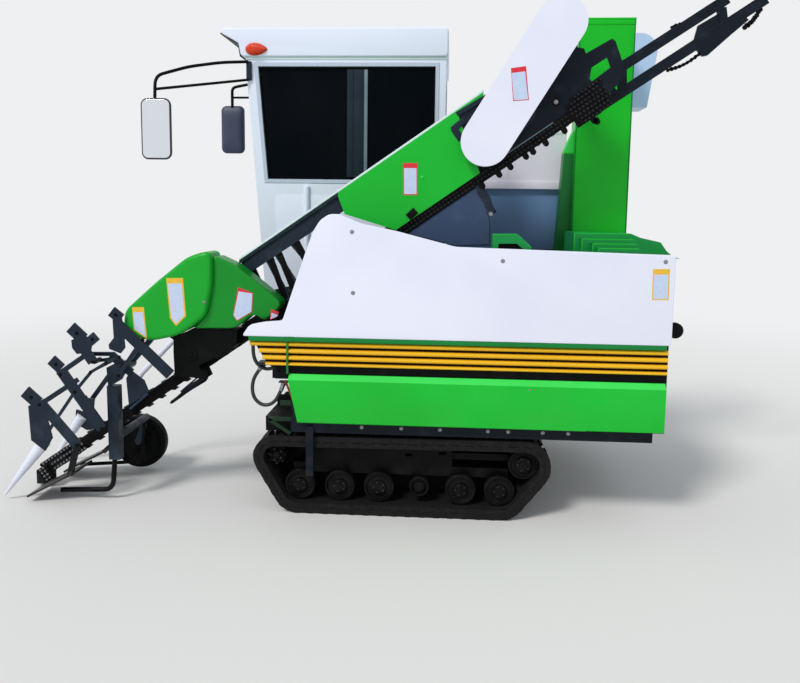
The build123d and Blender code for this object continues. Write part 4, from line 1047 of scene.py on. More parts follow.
def label(name, corners, y, edging, body, across=0.009, band=0.024):
    """Blank plate: a coloured backing and a pale field inside it, which leaves a band free at the top."""
    corners = np.array(corners, float)
    field = inward(corners, across)
    top = field[:, 1].max()
    field[:, 1] = np.where(field[:, 1] > top - 0.03, field[:, 1] - band, field[:, 1])
    solid(name + "_backing", [pressed(corners, y - 0.0005, y + 0.0009, 0.0004, 2)], edging, body)
    solid(name + "_field", [pressed(field, y, y + 0.0014, 0.0003, 2)], LABEL_PALE, body)


UPPER_PLATE = ((1.179, 1.435), (1.075, 1.437), (1.061, 1.207), (1.124, 1.144), (1.160, 1.192))
FRONT_PLATE = ((1.394, 1.254), (1.320, 1.256), (1.306, 1.060), (1.386, 1.114))
REAR_PLATE = ((0.752, 1.384), (0.660, 1.350), (0.668, 1.234), (0.761, 1.177), (0.785, 1.213))
TAIL_PLATE = ((0.551, 1.255), (0.502, 1.238), (0.515, 1.207), (0.558, 1.188))
CHUTE_PLATE = ((-0.226, 2.141), (-0.314, 2.142), (-0.317, 1.950), (-0.229, 1.949))
GUARD_PLATE = ((-0.850, 2.681), (-0.936, 2.692), (-0.959, 2.501), (-0.868, 2.495))
PANEL_PLATE = ((-1.668, 1.545), (-1.762, 1.547), (-1.765, 1.371), (-1.671, 1.369))
label("cover_plate_upper", UPPER_PLATE, FRONT_LOBE_FACE, LABEL_YELLOW, "header")
label("cover_plate_front", FRONT_PLATE, FRONT_LOBE_FACE, LABEL_YELLOW, "header", 0.007)
label("cover_plate_rear", REAR_PLATE, REAR_LOBE_FACE, LABEL_RED, "header", 0.004, 0.020)
label("cover_plate_tail", TAIL_PLATE, REAR_LOBE_FACE, LABEL_RED, "header", 0.003, 0.018)
label("chute_plate", CHUTE_PLATE, CHUTE_FACE, LABEL_RED, "header", 0.006)
label("guard_plate", GUARD_PLATE, GUARD_FACE, LABEL_RED, "header", 0.0045)
label("panel_plate", PANEL_PLATE, SIDE_PANEL_FACE, LABEL_YELLOW, "chassis", 0.007)


# Cab


WINDOW = ((0.762, 2.063), (0.826, 2.830), (-0.399, 2.830), (-0.399, 2.063))
solid("window_meeting_stile", [
    block(0.084, 0.168, 0.030, 0.043, 2.083, 2.812, 0.002),
    block(0.164, 0.208, 0.028, 0.047, 2.083, 2.812, 0.003),
], STILE, "chassis")
# Pale strip along the stile's rear edge: painted highlight.
solid("window_stile_painted_highlight", [block(0.066, 0.089, 0.030, 0.049, 2.083, 2.810, 0.002)], EDGE_HIGHLIGHT_GREY, "chassis")
surface("window_frame_left", border(inward(WINDOW, -0.026), 0.0275, 0.030, 0.0545), ALUMINIUM, "chassis",
        wrap_v=True)
surface("window_seal_left", border(inward(WINDOW, 0.001), 0.004, 0.016, 0.047, 0.002), SEAL, "chassis",
        wrap_v=True)
# Pale green strips under the roof's edges on both sides: painted reflection.
solid("eaves_painted_reflection", [
    block(-0.470, 0.905, 0.050, 0.056, 2.877, 2.8905, 0.0015),
    block(-0.470, 0.905, -0.986, -0.980, 2.877, 2.8905, 0.0015),
], PALE_GREEN_HIGHLIGHT, "chassis")
side_pipe = [(0.484, 0.059, z) for z in (1.215, 1.216, 1.6, 2.014, 2.018)]
side_pipe_radii = np.array((0.014, 0.018, 0.018, 0.018, 0.013))
surface("cab_side_pipe", tube(side_pipe, side_pipe_radii, 20), CAB_WHITE, "chassis")


def door_ring():
    """Rubber seal: a rectangle with cut corners carried round the doorway."""
    doorway = ((0.640, 1.130), (0.640, 2.800), (-0.250, 2.800), (-0.250, 1.130))
    return border(doorway, 0.007, -0.9835, -0.952, 0.002)


surface("doorway_seal", door_ring(), SEAL, "chassis", wrap_v=True)
DOOR_WINDOW = ((0.550, 1.900), (0.550, 2.710), (-0.160, 2.710), (-0.160, 1.900))
surface("door_window_frame", border(DOOR_WINDOW, 0.016, -0.9825, -0.945, 0.002), ALUMINIUM, "cab_door",
        wrap_v=True)


def screen_frame():
    """Seal round the windscreen: a rectangle carried round the opening, then leaned with the front wall."""
    opening = ((-0.889, 1.702), (-0.041, 1.702), (-0.041, 2.828), (-0.889, 2.828))
    ring = border(opening, 0.014, 0.0, 0.012, 0.002)
    across, z = ring[..., 0].copy(), ring[..., 2].copy()
    foot_x, foot_z, wall_height, lean_forward = 0.776, 1.100, 1.792, 0.140
    wall_x = foot_x + (z - foot_z) / wall_height * lean_forward
    ring[..., 0] = wall_x - 0.012 + ring[..., 1]
    ring[..., 1] = across
    return ring


surface("windscreen_seal", screen_frame(), SEAL, "chassis", wrap_v=True)


def wiper_path():
    """Wiper arm: a straight line up the glass from its pivot, raised by half a sine wave on the way."""
    t = np.linspace(0, 1, 14)[:, None]
    foot, tip = np.array((0.832, -0.300, 1.690)), np.array((0.874, -0.560, 2.220))
    path = foot + t * (tip - foot)
    path[:, 0] += 0.010 * np.sin(np.pi * t[:, 0])
    return path


surface("wiper_arm", tube(wiper_path(), 0.006, 12), BLACK, "chassis")
surface("wiper_blade", tube(np.linspace((0.845, -0.500, 1.880), (0.893, -0.640, 2.480), 12), 0.008, 10),
        SEAL, "chassis")


def roof_shell():
    """Roof skin: the section (x, z) with a rounded rear and visor, carried across between drawn-in sides."""
    outline = (
        (1.085, 3.045), (1.079, 3.0848), (-0.482, 3.0848), (-0.482, 2.892), (0.944, 2.892), (0.960, 2.980),
    )
    return pressed(eased(outline, 0.030, 6), -1.000, 0.070, 0.012, 5)


# Dark layer on the visor's sloping underside, in the seal's rubber: painted shade under the overhang.
visor_underside = [
    (1.0835, 3.0440), (0.9605, 2.9760), (0.9465, 2.8925), (0.9425, 2.8925), (0.9555, 2.9830),
    (1.0790, 3.0500),
]
solid("visor_underside_painted_shade", [pressed(visor_underside, -0.996, 0.0708, 0.0006, 2)], SEAL, "chassis")
roof = solid("roof_shell", [roof_shell()], CAB_WHITE, "chassis", 60)
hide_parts("cab_roof")


# Lamps, seat and console


LAMP_X, LAMP_Z = 0.842, 2.940
LAMP_FOOT = {1: 0.0705, -1: -0.9998}    # y of each lamp's foot


def lamp_dome(side):
    """Teardrop lens: a half ellipse turned over its plan, its radius shrinking towards the rear end."""
    angle = np.arange(40)[:, None] * TAU / 40
    rise = np.linspace(0, np.pi / 2, 10)[None]
    length = np.where(np.cos(angle) > 0, 0.066, 0.088)
    taper = 1 - 0.38 * np.clip(-np.cos(angle), 0, 1) ** 2
    x = LAMP_X + length * np.cos(angle) * np.cos(rise)
    z = LAMP_Z + 0.043 * taper * np.sin(angle) * np.cos(rise) ** 0.9
    y = np.broadcast_to(0.030 * np.sin(rise), x.shape)
    middle = np.broadcast_to((LAMP_X, 0.0, LAMP_Z), (len(x), 1, 3))
    dome = np.concatenate([middle, np.stack([x, y, z], -1)], 1)
    dome[..., 1] = LAMP_FOOT[side] + side * dome[..., 1]
    return dome


lens = surface("roof_lamp_lenses", [lamp_dome(1), lamp_dome(-1)], AMBER, "chassis", crease=60)
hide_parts("lamps")


def cushion(size, crown, channels):
    """Padded block about its own middle: a superellipse in plan and section, drawn in between its corners.

    The top rises by the crown. Each channel is a narrow valley across it at its own share of the length."""
    a, b, c = np.array(size) / 2
    u = np.arange(96)[:, None] * TAU / 96
    v = np.linspace(-np.pi / 2, np.pi / 2, 41)[None]
    power = 0.28    # the smaller, the squarer the plan
    cu, su = np.cos(u), np.sin(u)
    ring = np.sign(np.sin(v)) * np.abs(np.sin(v)) ** 0.42
    reach = np.cos(v).clip(0) ** 0.30
    waist = 1 - 0.030 * np.cos(2 * u) ** 2 * np.cos(v) ** 2
    x = a * waist * reach * np.sign(cu) * np.abs(cu) ** power
    y = b * waist * reach * np.sign(su) * np.abs(su) ** power
    inside = (1 - np.clip((x / a) ** 2, 0, 1)) * (1 - np.clip((y / b) ** 2, 0, 1))
    z = c * ring + np.where(ring > 0, crown * inside * ring, 0.0)
    for share in channels:
        z = z - 0.012 * np.exp(-(((x / a) - share) / 0.05) ** 2) * (ring > 0) * np.clip(ring * 2, 0, 1)
    z = z - 0.003 * np.exp(-((ring - 0.55) / 0.05) ** 2)
    return np.stack([x, y, z], -1)


def set_in_place(grid, origin, u, v):
    """Grid moved so that its x runs along u, its y along v and its middle stands at the origin."""
    m = place(origin, u, v)
    return grid @ m[:3, :3].T + m[:3, 3]


SEAT_Y = -0.465
base = solid("seat_box", [
    block(-0.255, 0.115, -0.660, -0.270, 1.100, 1.440, 0.012),
    block(-0.262, 0.160, -0.690, -0.240, 1.440, 1.482, 0.010),
], BLACK_PLASTIC, "chassis")
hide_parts("seat")
pad_form = cushion((0.470, 0.470, 0.105), 0.012, (-0.45, 0.0, 0.45))
pad = surface("seat_cushion", set_in_place(pad_form, (-0.038, SEAT_Y, 1.536), (1, 0, 0), (0, 1, 0)),
              LEATHER, "chassis", crease=70)
lean = np.array((-0.080, 0.0, 0.580)) / np.hypot(0.080, 0.580)
back_form = cushion((0.560, 0.450, 0.082), 0.008, (-0.5, 0.0, 0.5))
back_pad = surface("seat_back_cushion", set_in_place(back_form, (-0.268, SEAT_Y, 1.888), lean, (0, 1, 0)),
                   LEATHER, "chassis", crease=70)


def knob(x, y, z):
    """Ball grip on a short neck: along an upright line the radius follows the cosine of the height."""
    radius = 0.022
    t = np.linspace(-np.pi / 2 + 0.35, np.pi / 2, 14)
    heights = np.concatenate([[z - radius * 1.6], [z - radius * 1.5], z + radius * np.sin(t)])
    radii = np.concatenate([[0.008], [0.010], radius * np.cos(t).clip(0.001)])
    return tube(np.stack([np.full(len(heights), x), np.full(len(heights), y), heights], -1), radii, 24)


desk = solid("console_desk", [
    pressed([(0.424, 1.100), (0.636, 1.100), (0.636, 1.556), (0.600, 1.558), (0.424, 1.510)],
            -0.762, -0.168, 0.010, 4),
], GREY_PLASTIC, "chassis")
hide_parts("control_console")
console_top = [(0.440, 1.513), (0.592, 1.554), (0.590, 1.560), (0.438, 1.519)]
solid("console_panel", [pressed(console_top, -0.745, -0.185, 0.001, 2)], BLACK_PLASTIC, "chassis")
dial_slope = np.array((0.965, 0.0, 0.262))
dials = [place((0.530, SEAT_Y + dy, 1.541), dial_slope, (0, 1, 0)) for dy in (-0.16, -0.05, 0.05, 0.16)]
surface("console_dials", placed(bolt_head(0.024, 0.006), dials), ZINC, "chassis")
levers = [
    tube(np.linspace((0.500, SEAT_Y + dy, 1.520), (0.470, SEAT_Y + dy, 1.760), 8), 0.010, 16)
    for dy in (-0.12, 0.12)
]
surface("steering_levers", levers, ZINC, "chassis")
surface("lever_grips", [knob(0.468, SEAT_Y + dy, 1.778) for dy in (-0.12, 0.12)], BLACK_PLASTIC, "chassis",
        crease=60)


# Tank, elevator and hood trim


solid("tank_rim", [
    block(-1.2985, -0.515, 0.0500, 0.0560, 2.0145, 2.0665, 0.0015),
    block(-1.2945, -0.519, *TANK_SEAMS, 2.384, 2.402, 0.001),
], TANK_WHITE, "chassis")
solid("tank_corner_seams", [
    block(x - 0.003, x + 0.003, *TANK_SEAMS, 2.066, 2.386, 0.0008) for x in (-0.535, -0.905, -1.278)
], TANK_WHITE, "chassis")
solid("elevator_top_flange", [
    block(-1.682, -1.320, 0.056, 0.2345, 3.090, 3.103, 0.002),
    block(-1.681, -1.3215, 0.2295, 0.2330, 3.060, 3.090, 0.001),
], TOWER_GREEN, "chassis")
solid("elevator_seams", [
    block(-1.680, -1.672, *TOWER_SEAMS, 1.610, 3.088, 0.001),
    block(-1.330, -1.3215, *TOWER_SEAMS, 1.610, 3.088, 0.001),
], DEEP_GREEN, "chassis")
# Sloping top of the boot in the paler green: painted highlight.
solid("boot_sloping_top", [
    pressed([(-1.2645, 2.246), (-1.2625, 2.256), (-1.322, 2.404), (-1.324, 2.246)], 0.062, 0.168, 0.001, 2),
], PAINTED_LIT_GREEN, "chassis")
# Dark green sheets over the boot's near and front faces: painted shade.
solid("boot_shaded_faces", [
    pressed([(-1.2295, 1.604), (-1.2640, 2.246), (-1.3285, 2.246), (-1.3285, 1.604)],
            0.1695, 0.1708, 0.0004, 2),
    pressed([(-1.2268, 1.604), (-1.2624, 2.250), (-1.2646, 2.250), (-1.2290, 1.604)],
            0.0610, 0.1705, 0.0004, 2),
], DEEP_GREEN, "chassis")
arch_edge = [
    (-0.767, 1.7265), (-0.908, 1.7285), (-0.988, 1.658), (-0.984, 1.655), (-0.906, 1.7245), (-0.767, 1.7225),
]
solid("arch_edge_lip", [pressed(arch_edge, 0.924, 0.9305, 0.001, 2)], GREEN, "chassis")
# Black block set into the arch's opening: painted shade inside it.
solid("arch_inside_painted_shade", [block(-0.950, -0.795, 0.800, 0.900, 1.600, 1.668, 0.001)], BLACK, "chassis")
HOOD_EDGES = (
    # y, front, top
    (0.710, -1.265, 1.736), (0.780, -1.300, 1.704), (0.860, -1.350, 1.680), (0.930, -1.370, 1.656),
)
# Strips of the brighter panel green along the hood's step edges: painted highlight.
solid("hood_step_edge_highlights", [
    part for y, front, top in HOOD_EDGES for part in (
        block(-1.602, front, y - 0.006, y + 0.0008, top - 0.006, top + 0.0008, 0.0015),
        block(front - 0.006, front + 0.0008, y - 0.006, y + 0.0008, 1.604, top, 0.0015),
    )
], GREEN, "chassis")


# Conveyor trim and chains


# Pale strip along the flange's top edge: painted highlight.
solid("flange_lip_painted_highlight", [
    pressed([(0.787, 1.5365), (0.787, 1.5500), (-0.700, 2.5768), (-0.700, 2.5610)], 0.7105, 0.7194, 0.001),
], PALE_GREEN_HIGHLIGHT, "header")
solid("flange_dark_face", [
    pressed([(0.788, 1.5142), (0.788, 1.5362), (0.170, 1.9635), (0.170, 1.9395)], 0.7175, 0.7188, 0.0004, 2),
], SLATE, "header")
solid("flange_filler", [flat_bar(0.772, 1.507, 0.140, 1.943, 0.040, 0.688, 0.700, 0.001)], SLATE, "header")
BRACKET_OUTLINE = (
    (-0.683, 2.004), (-0.713, 2.005), (-0.760, 1.941), (-0.766, 1.916), (-0.787, 1.856),
    (-0.763, 1.821), (-0.743, 1.840), (-0.747, 1.861), (-0.705, 1.935), (-0.674, 1.974),
)
solid("chute_latch", [flat_bar(-0.262, 1.815, -0.308, 1.859, 0.044, 0.717, 0.730, 0.003)], BLACK, "header")
solid("chute_hook", [
    flat_bar(-0.590, 2.398, -0.519, 2.338, 0.038, 0.717, 0.7245, 0.002),
    flat_bar(-0.526, 2.350, -0.574, 2.284, 0.042, 0.7165, 0.7235, 0.002),
    pressed([(-0.536, 2.442), (-0.548, 2.420), (-0.640, 2.470), (-0.725, 2.535), (-0.725, 2.556)],
            0.7165, 0.7198, 0.0008, 2),
], SLATE, "header")
solid("chute_slats", [
    flat_bar(0.746, 1.542, 0.611, 1.249, 0.040, 0.652, 0.672, 0.002),
    flat_bar(0.617, 1.612, 0.503, 1.298, 0.040, *CHUTE_SLATS, 0.002),
    flat_bar(0.566, 1.645, 0.452, 1.363, 0.040, *CHUTE_SLATS, 0.002),
    flat_bar(0.457, 1.700, 0.352, 1.503, 0.044, *CHUTE_SLATS, 0.002),
], BLACK, "header")
bolts("chute_bolts", ((-0.342, 2.058),), 0.7178, 0.007, 0.006, PAINTED_LIT_GREEN, "header")
bolts("pivot_plate_bolt", ((-1.130, 2.507),), 0.7030, 0.010, 0.010, ZINC, "header")
pivot_washer = [(0.0, 0.7025), (0.024, 0.7025), (0.025, 0.7040), (0.0, 0.7045)]
surface("pivot_plate_washer", turned(pivot_washer, (-1.130, 2.507), 32), BLACK, "header")
solid("skirt_edge_bracket", [pressed(BRACKET_OUTLINE, REAR_PLATE_FACE, 0.7065, 0.001, 2)], SLATE, "header")
bolts("skirt_bracket_bolt", ((-0.762, 1.842),), 0.7060, 0.010, 0.009, ZINC, "header")
skirt_outline = [
    (-0.234, 1.724), (-0.234, 1.770), (-0.690, 2.086), (-0.690, 2.013), (-0.755, 1.812), (-0.759, 1.658),
    (-0.552, 1.648),
]
solid("slate_skirt_face", [pressed(skirt_outline, 0.6895, 0.6915, 0.0008, 2)], PLATE_BLUE, "header")
plate_face = [
    (-0.800, 2.165), (-0.648, 2.250), (-0.560, 2.330), (-0.530, 2.358), (-0.540, 2.415), (-0.705, 2.530),
    (-1.015, 2.534), (-1.010, 2.420),
]
solid("upper_plate_face", [pressed(plate_face, 0.7015, 0.7032, 0.0008, 2)], SLATE, "header")

UP3 = np.array((LINE_UP[0], 0.0, LINE_UP[1]))
OUT3 = np.array((LINE_OUT[0], 0.0, LINE_OUT[1]))
PITCH = 0.0254    # distance from one chain joint to the next
PLATE_END = 3.36    # distance up the line at which the plates take over from the beam


def line_place(s, n, y):
    """Place on the conveyor's line, looking out to the left."""
    x, z = on_line(s, n)
    return place((x, y, z), UP3, OUT3)


def link_plate(length, height, thickness):
    """Chain link plate: two half circles joined at a drawn-in waist."""
    angle = np.linspace(-np.pi / 2, np.pi / 2, 6)
    end = np.stack([length / 2 - height / 2 + height / 2 * np.cos(angle), height / 2 * np.sin(angle)], -1)
    waist = np.array(((0.0, height * 0.36),))
    outline = np.concatenate([end, waist, -end, -waist])
    return plate(outline, thickness, thickness * 0.4, (0, 0, 0), (1, 0, 0), (0, 1, 0))


def chain_row(name, distances, n, y, height=0.021):
    """Row of link plates, inner and outer by turns, with a pin head at each joint."""
    distances = np.asarray(distances, float)
    inner = [line_place(s, n, y - 0.004) for s in distances[::2]]
    outer = [line_place(s, n, y) for s in distances[1::2]]
    surface(name + "_links", placed(link_plate(0.046, height, 0.0028), inner + outer), BLACK, "header")
    pins = [line_place(s + side * PITCH / 2, n, y + 0.002) for s in distances[1::2] for side in (-1, 1)]
    surface(name + "_pins", placed(bolt_head(0.0052, 0.0035), pins), PIN, "header")


solid("chain_backing_rail", [
    along_line(1.21, PLATE_END, -0.048, 0.012, 0.6925, 0.6950, 0.001),
    along_line(PLATE_END, 4.06, -0.040, 0.021, REAR_PLATE_FACE, 0.7055, 0.001),
    along_line(4.055, 4.220, -0.094, 0.060, REAR_PLATE_FACE, 0.7065, 0.001),
], BLACK, "header")
# Grey strip along the rail's upper edge: painted highlight.
solid("chain_rail_painted_highlight", [along_line(3.58, 3.95, 0.0135, 0.0205, 0.7050, 0.7085, 0.001)], EDGE_HIGHLIGHT_GREY,
      "header")
beam_steps, plate_steps = np.arange(1.23, PLATE_END, PITCH), np.arange(3.38, 4.05, PITCH)
chain_row("conveyor_chain_upper", beam_steps, -0.006, 0.7000)
chain_row("conveyor_chain_lower", beam_steps, -0.031, 0.7000)
chain_row("plate_chain_upper", plate_steps, 0.001, 0.7105)
chain_row("plate_chain_lower", plate_steps, -0.024, 0.7105)
END_CHAINS = (
    # distance out from the line, distance up it to the first link
    (-0.081, 4.10), (-0.056, 4.09), (-0.030, 4.07), (-0.004, 4.055), (0.022, 4.06), (0.048, 4.08),
    (0.072, 4.12),
)
for number, (n, first) in enumerate(END_CHAINS):
    chain_row(f"end_chain_{number + 1}", np.arange(first, 4.30, PITCH), n, 0.7125)
low_steps = np.arange(0.06, 0.36, PITCH)
chain_row("low_chain_upper", low_steps, 0.0225, 0.6045, height=0.016)
chain_row("low_chain_lower", low_steps, -0.0225, 0.6045, height=0.016)
solid("low_guide_bar", [along_line(0.30, 1.18, -0.034, 0.036, 0.6065, 0.6225, 0.004)], BLACK, "header")
# Round rim along the guide bar's top edge in the paler slate paint: painted highlight.
low_rim_highlight = [(x, 0.6185, z) for x, z in on_line(np.linspace(0.62, 1.17, 12), 0.037)]
surface("low_guide_rim_highlight", tube(low_rim_highlight, 0.0042, 10), SLATE, "header")
surface("slack_rod", tube(np.linspace((1.545, 0.640, 0.546), (1.424, 0.640, 0.652), 8), 0.0075, 14),
        PLATE_BLUE, "header")


def attachment():
    """Carrying lug that stands off a chain: a flat blade, drawn in at its foot and rounded at its tip."""
    blade = [(-0.018, 0.0), (0.018, 0.0), (0.016, -0.036), (-0.004, -0.046), (-0.019, -0.032)]
    return plate(eased(blade, 0.008, 3), 0.005, 0.001, (0, 0, 0), (1, 0, 0), (0, 1, 0))


LUGS = [(s, -0.038) for s in (3.40, 3.52, 3.60, 3.71, 3.76, 3.85, 3.98)] + [(4.155, -0.086), (4.167, -0.100)]
lug_places = [line_place(s, n, 0.7065) for s, n in LUGS]
surface("chain_carrying_lugs", placed(attachment(), lug_places), BLACK, "header")
FOOT_ROWS = (-0.034, 0.0, 0.034)
NOSE_ROWS = (-0.092, -0.066, -0.040, -0.014, 0.010)
foot_steps = np.arange(-0.03, 0.30, PITCH)
end_links = [line_place(s, n, 0.6065) for s in foot_steps for n in FOOT_ROWS]
end_links += [line_place(s, n, 0.6415) for s in (-0.052, -0.027, -0.002) for n in NOSE_ROWS]
surface("foot_chain_links", placed(link_plate(0.040, 0.026, 0.012), end_links), BLACK, "header")
end_pins = [line_place(s + PITCH / 2, n, 0.618) for s in foot_steps for n in FOOT_ROWS]
end_pins += [line_place(s, n, 0.6525) for s in (-0.040, -0.015) for n in NOSE_ROWS]
surface("foot_chain_pins", placed(bolt_head(0.006, 0.008), end_pins), ZINC, "header")


def rail_chain(name, start, end, y, links_high):
    """Slack strand between two places: link plates on a straight line that sags by half a sine wave."""
    p, q = np.array(start, float), np.array(end, float)
    count = int(np.linalg.norm(q - p) / PITCH)
    along = (q - p) / np.linalg.norm(q - p)
    places = []
    for share in (np.arange(count) + 0.5) / count:
        x, z = p + share * (q - p) - np.array((0.0, 0.020 * np.sin(np.pi * share)))
        places.append(place((x, y, z), (along[0], 0, along[1]), (along[1], 0, -along[0])))
    surface(name, placed(link_plate(0.044, links_high, 0.010), places), BLACK, "header")


rail_chain("rear_strand_lower", (-1.790, 2.706), (-1.990, 2.818), 0.622, 0.020)
rail_chain("rear_strand_upper", (-1.800, 2.955), (-2.020, 3.082), 0.622, 0.016)
rail_chain("rear_strand_end", (-2.215, 2.950), (-2.305, 3.060), 0.626, 0.030)


# Digging head


def lobe(outline, y0, y1, rim):
    """Bulged half of the front cover: its outline's corners eased and its face drawn in round a wide rim."""
    rings = pressed(eased(outline, 0.045, 6), y0, y1, rim, 8)
    rings[:8] = rings[8:9]    # the inner face isn't drawn in
    rings[:8, :, 1] = np.linspace(y0, y1 - rim, 8)[:, None]
    return rings


FRONT_LOBE = (
    (1.444, 1.233), (1.249, 1.407), (1.055, 1.562), (0.944, 1.600), (0.902, 1.582), (0.905, 1.396),
    (0.945, 1.207), (1.051, 1.125), (1.133, 1.080), (1.290, 1.045), (1.448, 1.085), (1.455, 1.158),
)
REAR_LOBE = (
    (0.910, 1.580), (0.769, 1.516), (0.575, 1.366), (0.479, 1.283), (0.589, 1.178), (0.662, 1.225),
    (0.767, 1.131), (1.051, 1.125), (0.950, 1.207), (0.912, 1.396),
)
front_lobe = solid("drive_cover_front_lobe", [lobe(FRONT_LOBE, 0.722, 0.9198, 0.026)], COVER_GREEN,
                   "header", 60)
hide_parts("front_cover")
rear_lobe = solid("drive_cover_rear_lobe", [lobe(REAR_LOBE, 0.722, 0.8778, 0.014)], SHADED_GREEN,
                  "header", 60)
bolts("drive_cover_bolts", ((0.949, 1.294),), 0.9196, 0.007, 0.0055, ZINC, "header")


def sleeve(x, z, radius, y0, y1):
    """Smooth tube along Y: its half section, with a chamfer at both ends, turned round its middle line."""
    cut = 0.002
    outline = [
        (0.0, y0), (radius - cut, y0), (radius, y0 + cut), (radius, y1 - cut), (radius - cut, y1), (0.0, y1),
    ]
    return turned(outline, (x, z), 40)


surface("head_cross_tubes", [
    sleeve(1.300, 1.112, 0.0306, 0.150, 0.7215), sleeve(1.575, 0.400, 0.0266, 0.302, 0.8045),
    sleeve(1.500, 0.868, 0.0306, 0.694, 0.9355),
], SLATE, "header")
DIVIDER_JOINTS = (
    (1.757, 0.390), (1.594, 0.500), (1.638, 0.915), (1.757, 0.725), (1.652, 0.852), (1.555, 0.912),
    (1.470, 0.950), (1.844, 0.832), (1.985, 0.640), (2.036, 0.684), (1.870, 0.895), (1.731, 1.091),
    (1.636, 1.056), (1.484, 1.208), (1.480, 0.835), (1.322, 1.060),
)
bolts("divider_joint_bolts", DIVIDER_JOINTS, DIVIDER_FACE - 0.0006, 0.0085, 0.007, BLACK, "header")
GEAR_CASE_BOLTS = (
    (0.800, 1.000), (0.850, 0.985), (0.930, 0.945), (1.140, 0.850), (1.140, 1.040), (1.000, 1.100),
    (0.800, 1.100),
)
bolts("gear_case_bolts", GEAR_CASE_BOLTS, GEAR_CASE_FACE, 0.008, 0.006, BLACK, "header")
boss = [
    (0.0, 0.840), (0.044, 0.840), (0.044, 0.853), (0.039, 0.858), (0.018, 0.859), (0.016, 0.864),
    (0.0, 0.864),
]
surface("gear_case_boss", turned(boss, (1.060, 0.960), 40), CASE_BLACK, "header")
BENT_TINE = [
    (1.070, 0.655, 0.850), (1.090, 0.650, 0.826), (1.026, 0.650, 0.762), (1.139, 0.650, 0.692),
    (1.262, 0.650, 0.602),
]
surface("bent_tine_near", tube(bent(BENT_TINE, 0.022, 6), 0.0105, 14), CASE_BLACK, "header")
FOOT_PIPE = [(1.570, 0.830, 0.280), (1.590, 0.830, 0.070), (1.930, 0.830, 0.055)]
surface("foot_pipe_sleeve", tube(bent(FOOT_PIPE, 0.06, 8), 0.0156, 20), BLACK, "header")
SKID_PIPE = [(1.575, 0.350, 0.392), (1.590, 0.350, 0.105), (1.690, 0.350, 0.086), (2.036, 0.350, 0.057)]
surface("far_skid_pipe", tube(bent(SKID_PIPE, 0.05, 8), 0.0125, 18), BLACK, "header")


# Handles, door and rear


grip = [(-0.195, -0.981, 1.760), (-0.195, -1.004, 1.760), (-0.195, -1.004, 1.850), (-0.195, -0.981, 1.850)]
surface("door_handle", tube(bent(grip, 0.012), 0.006, 16), BLACK, "cab_door")
solid("door_lower_pressing", [
    pressed(eased([(0.520, 1.250), (0.520, 1.820), (-0.130, 1.820), (-0.130, 1.250)], 0.05, 5),
            -0.9835, -0.978, 0.004, 4),
], CAB_WHITE, "cab_door")
solid("wall_lower_pressing", [
    pressed(eased([(0.690, 1.230), (0.720, 1.960), (-0.400, 1.960), (-0.400, 1.230)], 0.05, 5),
            0.048, 0.0525, 0.004, 4),
], CAB_WHITE, "chassis")
solid("rear_panel_ribs", [
    block(-1.7985, -1.794, y - 0.02, y + 0.02, 1.120, 1.560, 0.001) for y in (-0.6, -0.2, 0.2, 0.6)
], BLACK, "chassis")


# Camera, light and floor


def camera():
    """Camera at the place, turn and lens that the photograph's view has."""
    data = bpy.data.cameras.new("main_camera")
    eye = put("main_camera", data)
    data.sensor_width = 36.0
    data.lens = LENS
    data.shift_y = SHIFT_Y
    data.clip_end = 200.0
    stand = Matrix.Identity(4)
    for column, axis in enumerate((CAMERA_RIGHT, CAMERA_UP, CAMERA_BACK, CAMERA_PLACE)):
        for row in range(3):
            stand[row][column] = axis[row]
    eye.matrix_world = stand
    bpy.context.scene.camera = eye


BACKDROP = (0.86, 0.87, 0.88)
FLOOR_REACH = 60.0
FADE_FROM, FADE_TO = 3.5, 11.0    # distances at which the floor starts and ends to fade


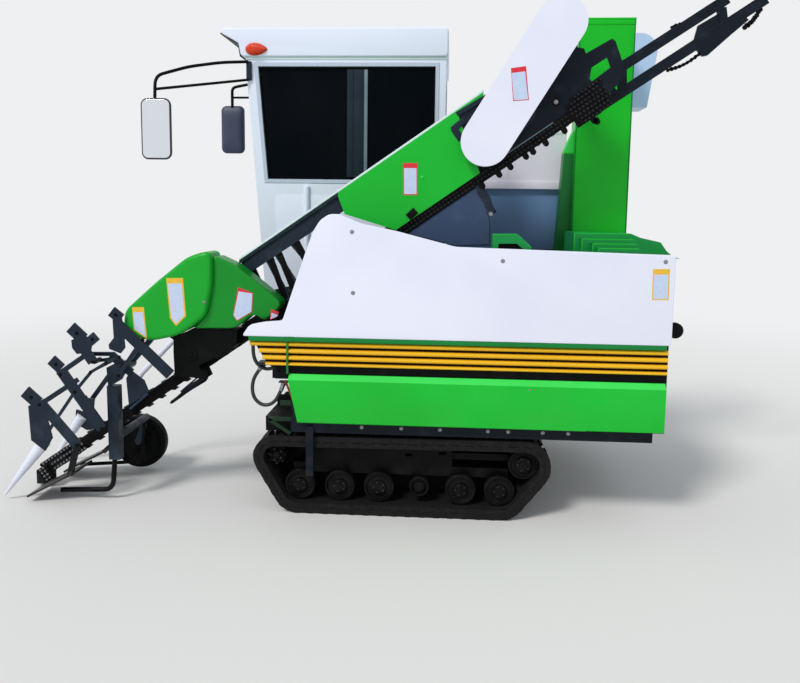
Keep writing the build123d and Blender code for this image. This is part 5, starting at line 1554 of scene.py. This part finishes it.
def floor():
    """Pale floor that turns into the backdrop's colour away from the machine."""
    data = bpy.data.meshes.new("studio_floor")
    corners = [(FLOOR_REACH * x, FLOOR_REACH * y, 0) for x, y in ((-1, -1), (1, -1), (1, 1), (-1, 1))]
    data.from_pydata(corners, [], [(0, 1, 2, 3)])
    material, tree, shader = new_finish("floor_paint")
    feed(tree, shader, {"Base Color": (0.74, 0.74, 0.735, 1), "Roughness": 0.9})
    glow = add(tree, "ShaderNodeEmission", {"Color": (*BACKDROP, 1.0), "Strength": 1.0})
    coords = add(tree, "ShaderNodeTexCoord").outputs["Object"]
    distance = add(tree, "ShaderNodeVectorMath", {0: coords}, operation="LENGTH").outputs["Value"]
    fade = add(tree, "ShaderNodeMapRange", {"Value": distance, "From Min": FADE_FROM, "From Max": FADE_TO},
               interpolation_type="SMOOTHSTEP").outputs["Result"]
    blend = add(tree, "ShaderNodeMixShader", {"Fac": fade, 1: shader.outputs[0], 2: glow.outputs[0]})
    tree.links.new(blend.outputs[0], tree.nodes["Material Output"].inputs["Surface"])
    data.materials.append(material)
    piece = put("studio_floor", data)


WORLD_TONE, WORLD_STRENGTH = (0.92, 0.96, 1.0, 1.0), 0.62
SUN_TONE, SUN_STRENGTH, SUN_WIDTH = (1.0, 0.97, 0.93), 1.9, np.radians(14)
TOWARD_SUN = (0.42, 0.62, 0.78)


def daylight():
    """Soft even world and one broad sun from the upper left behind the camera."""
    world = bpy.data.worlds.new("studio")
    bpy.context.scene.world = world
    world.use_nodes = True
    tree = world.node_tree
    tree.nodes.clear()
    path = add(tree, "ShaderNodeLightPath")
    seen = add(tree, "ShaderNodeMath", {0: path.outputs["Is Camera Ray"], 1: path.outputs["Is Glossy Ray"]},
               operation="MAXIMUM").outputs[0]
    seen = add(tree, "ShaderNodeMath", {0: seen, 1: path.outputs["Is Transmission Ray"]},
               operation="MAXIMUM").outputs[0]
    shown = add(tree, "ShaderNodeBackground", {"Color": (*BACKDROP, 1.0), "Strength": 1.0})
    lit = add(tree, "ShaderNodeBackground", {"Color": WORLD_TONE, "Strength": WORLD_STRENGTH})
    blend = add(tree, "ShaderNodeMixShader", {"Fac": seen, 1: lit.outputs[0], 2: shown.outputs[0]})
    output = add(tree, "ShaderNodeOutputWorld")
    tree.links.new(blend.outputs[0], output.inputs["Surface"])
    lamp = bpy.data.lights.new("sun", "SUN")
    lamp.energy = SUN_STRENGTH
    lamp.angle = SUN_WIDTH
    lamp.color = SUN_TONE
    put("sun", lamp).matrix_world = Vector(TOWARD_SUN).to_track_quat("Z", "Y").to_matrix().to_4x4()


camera()
floor()
daylight()
bpy.context.scene.view_settings.view_transform = "Standard"
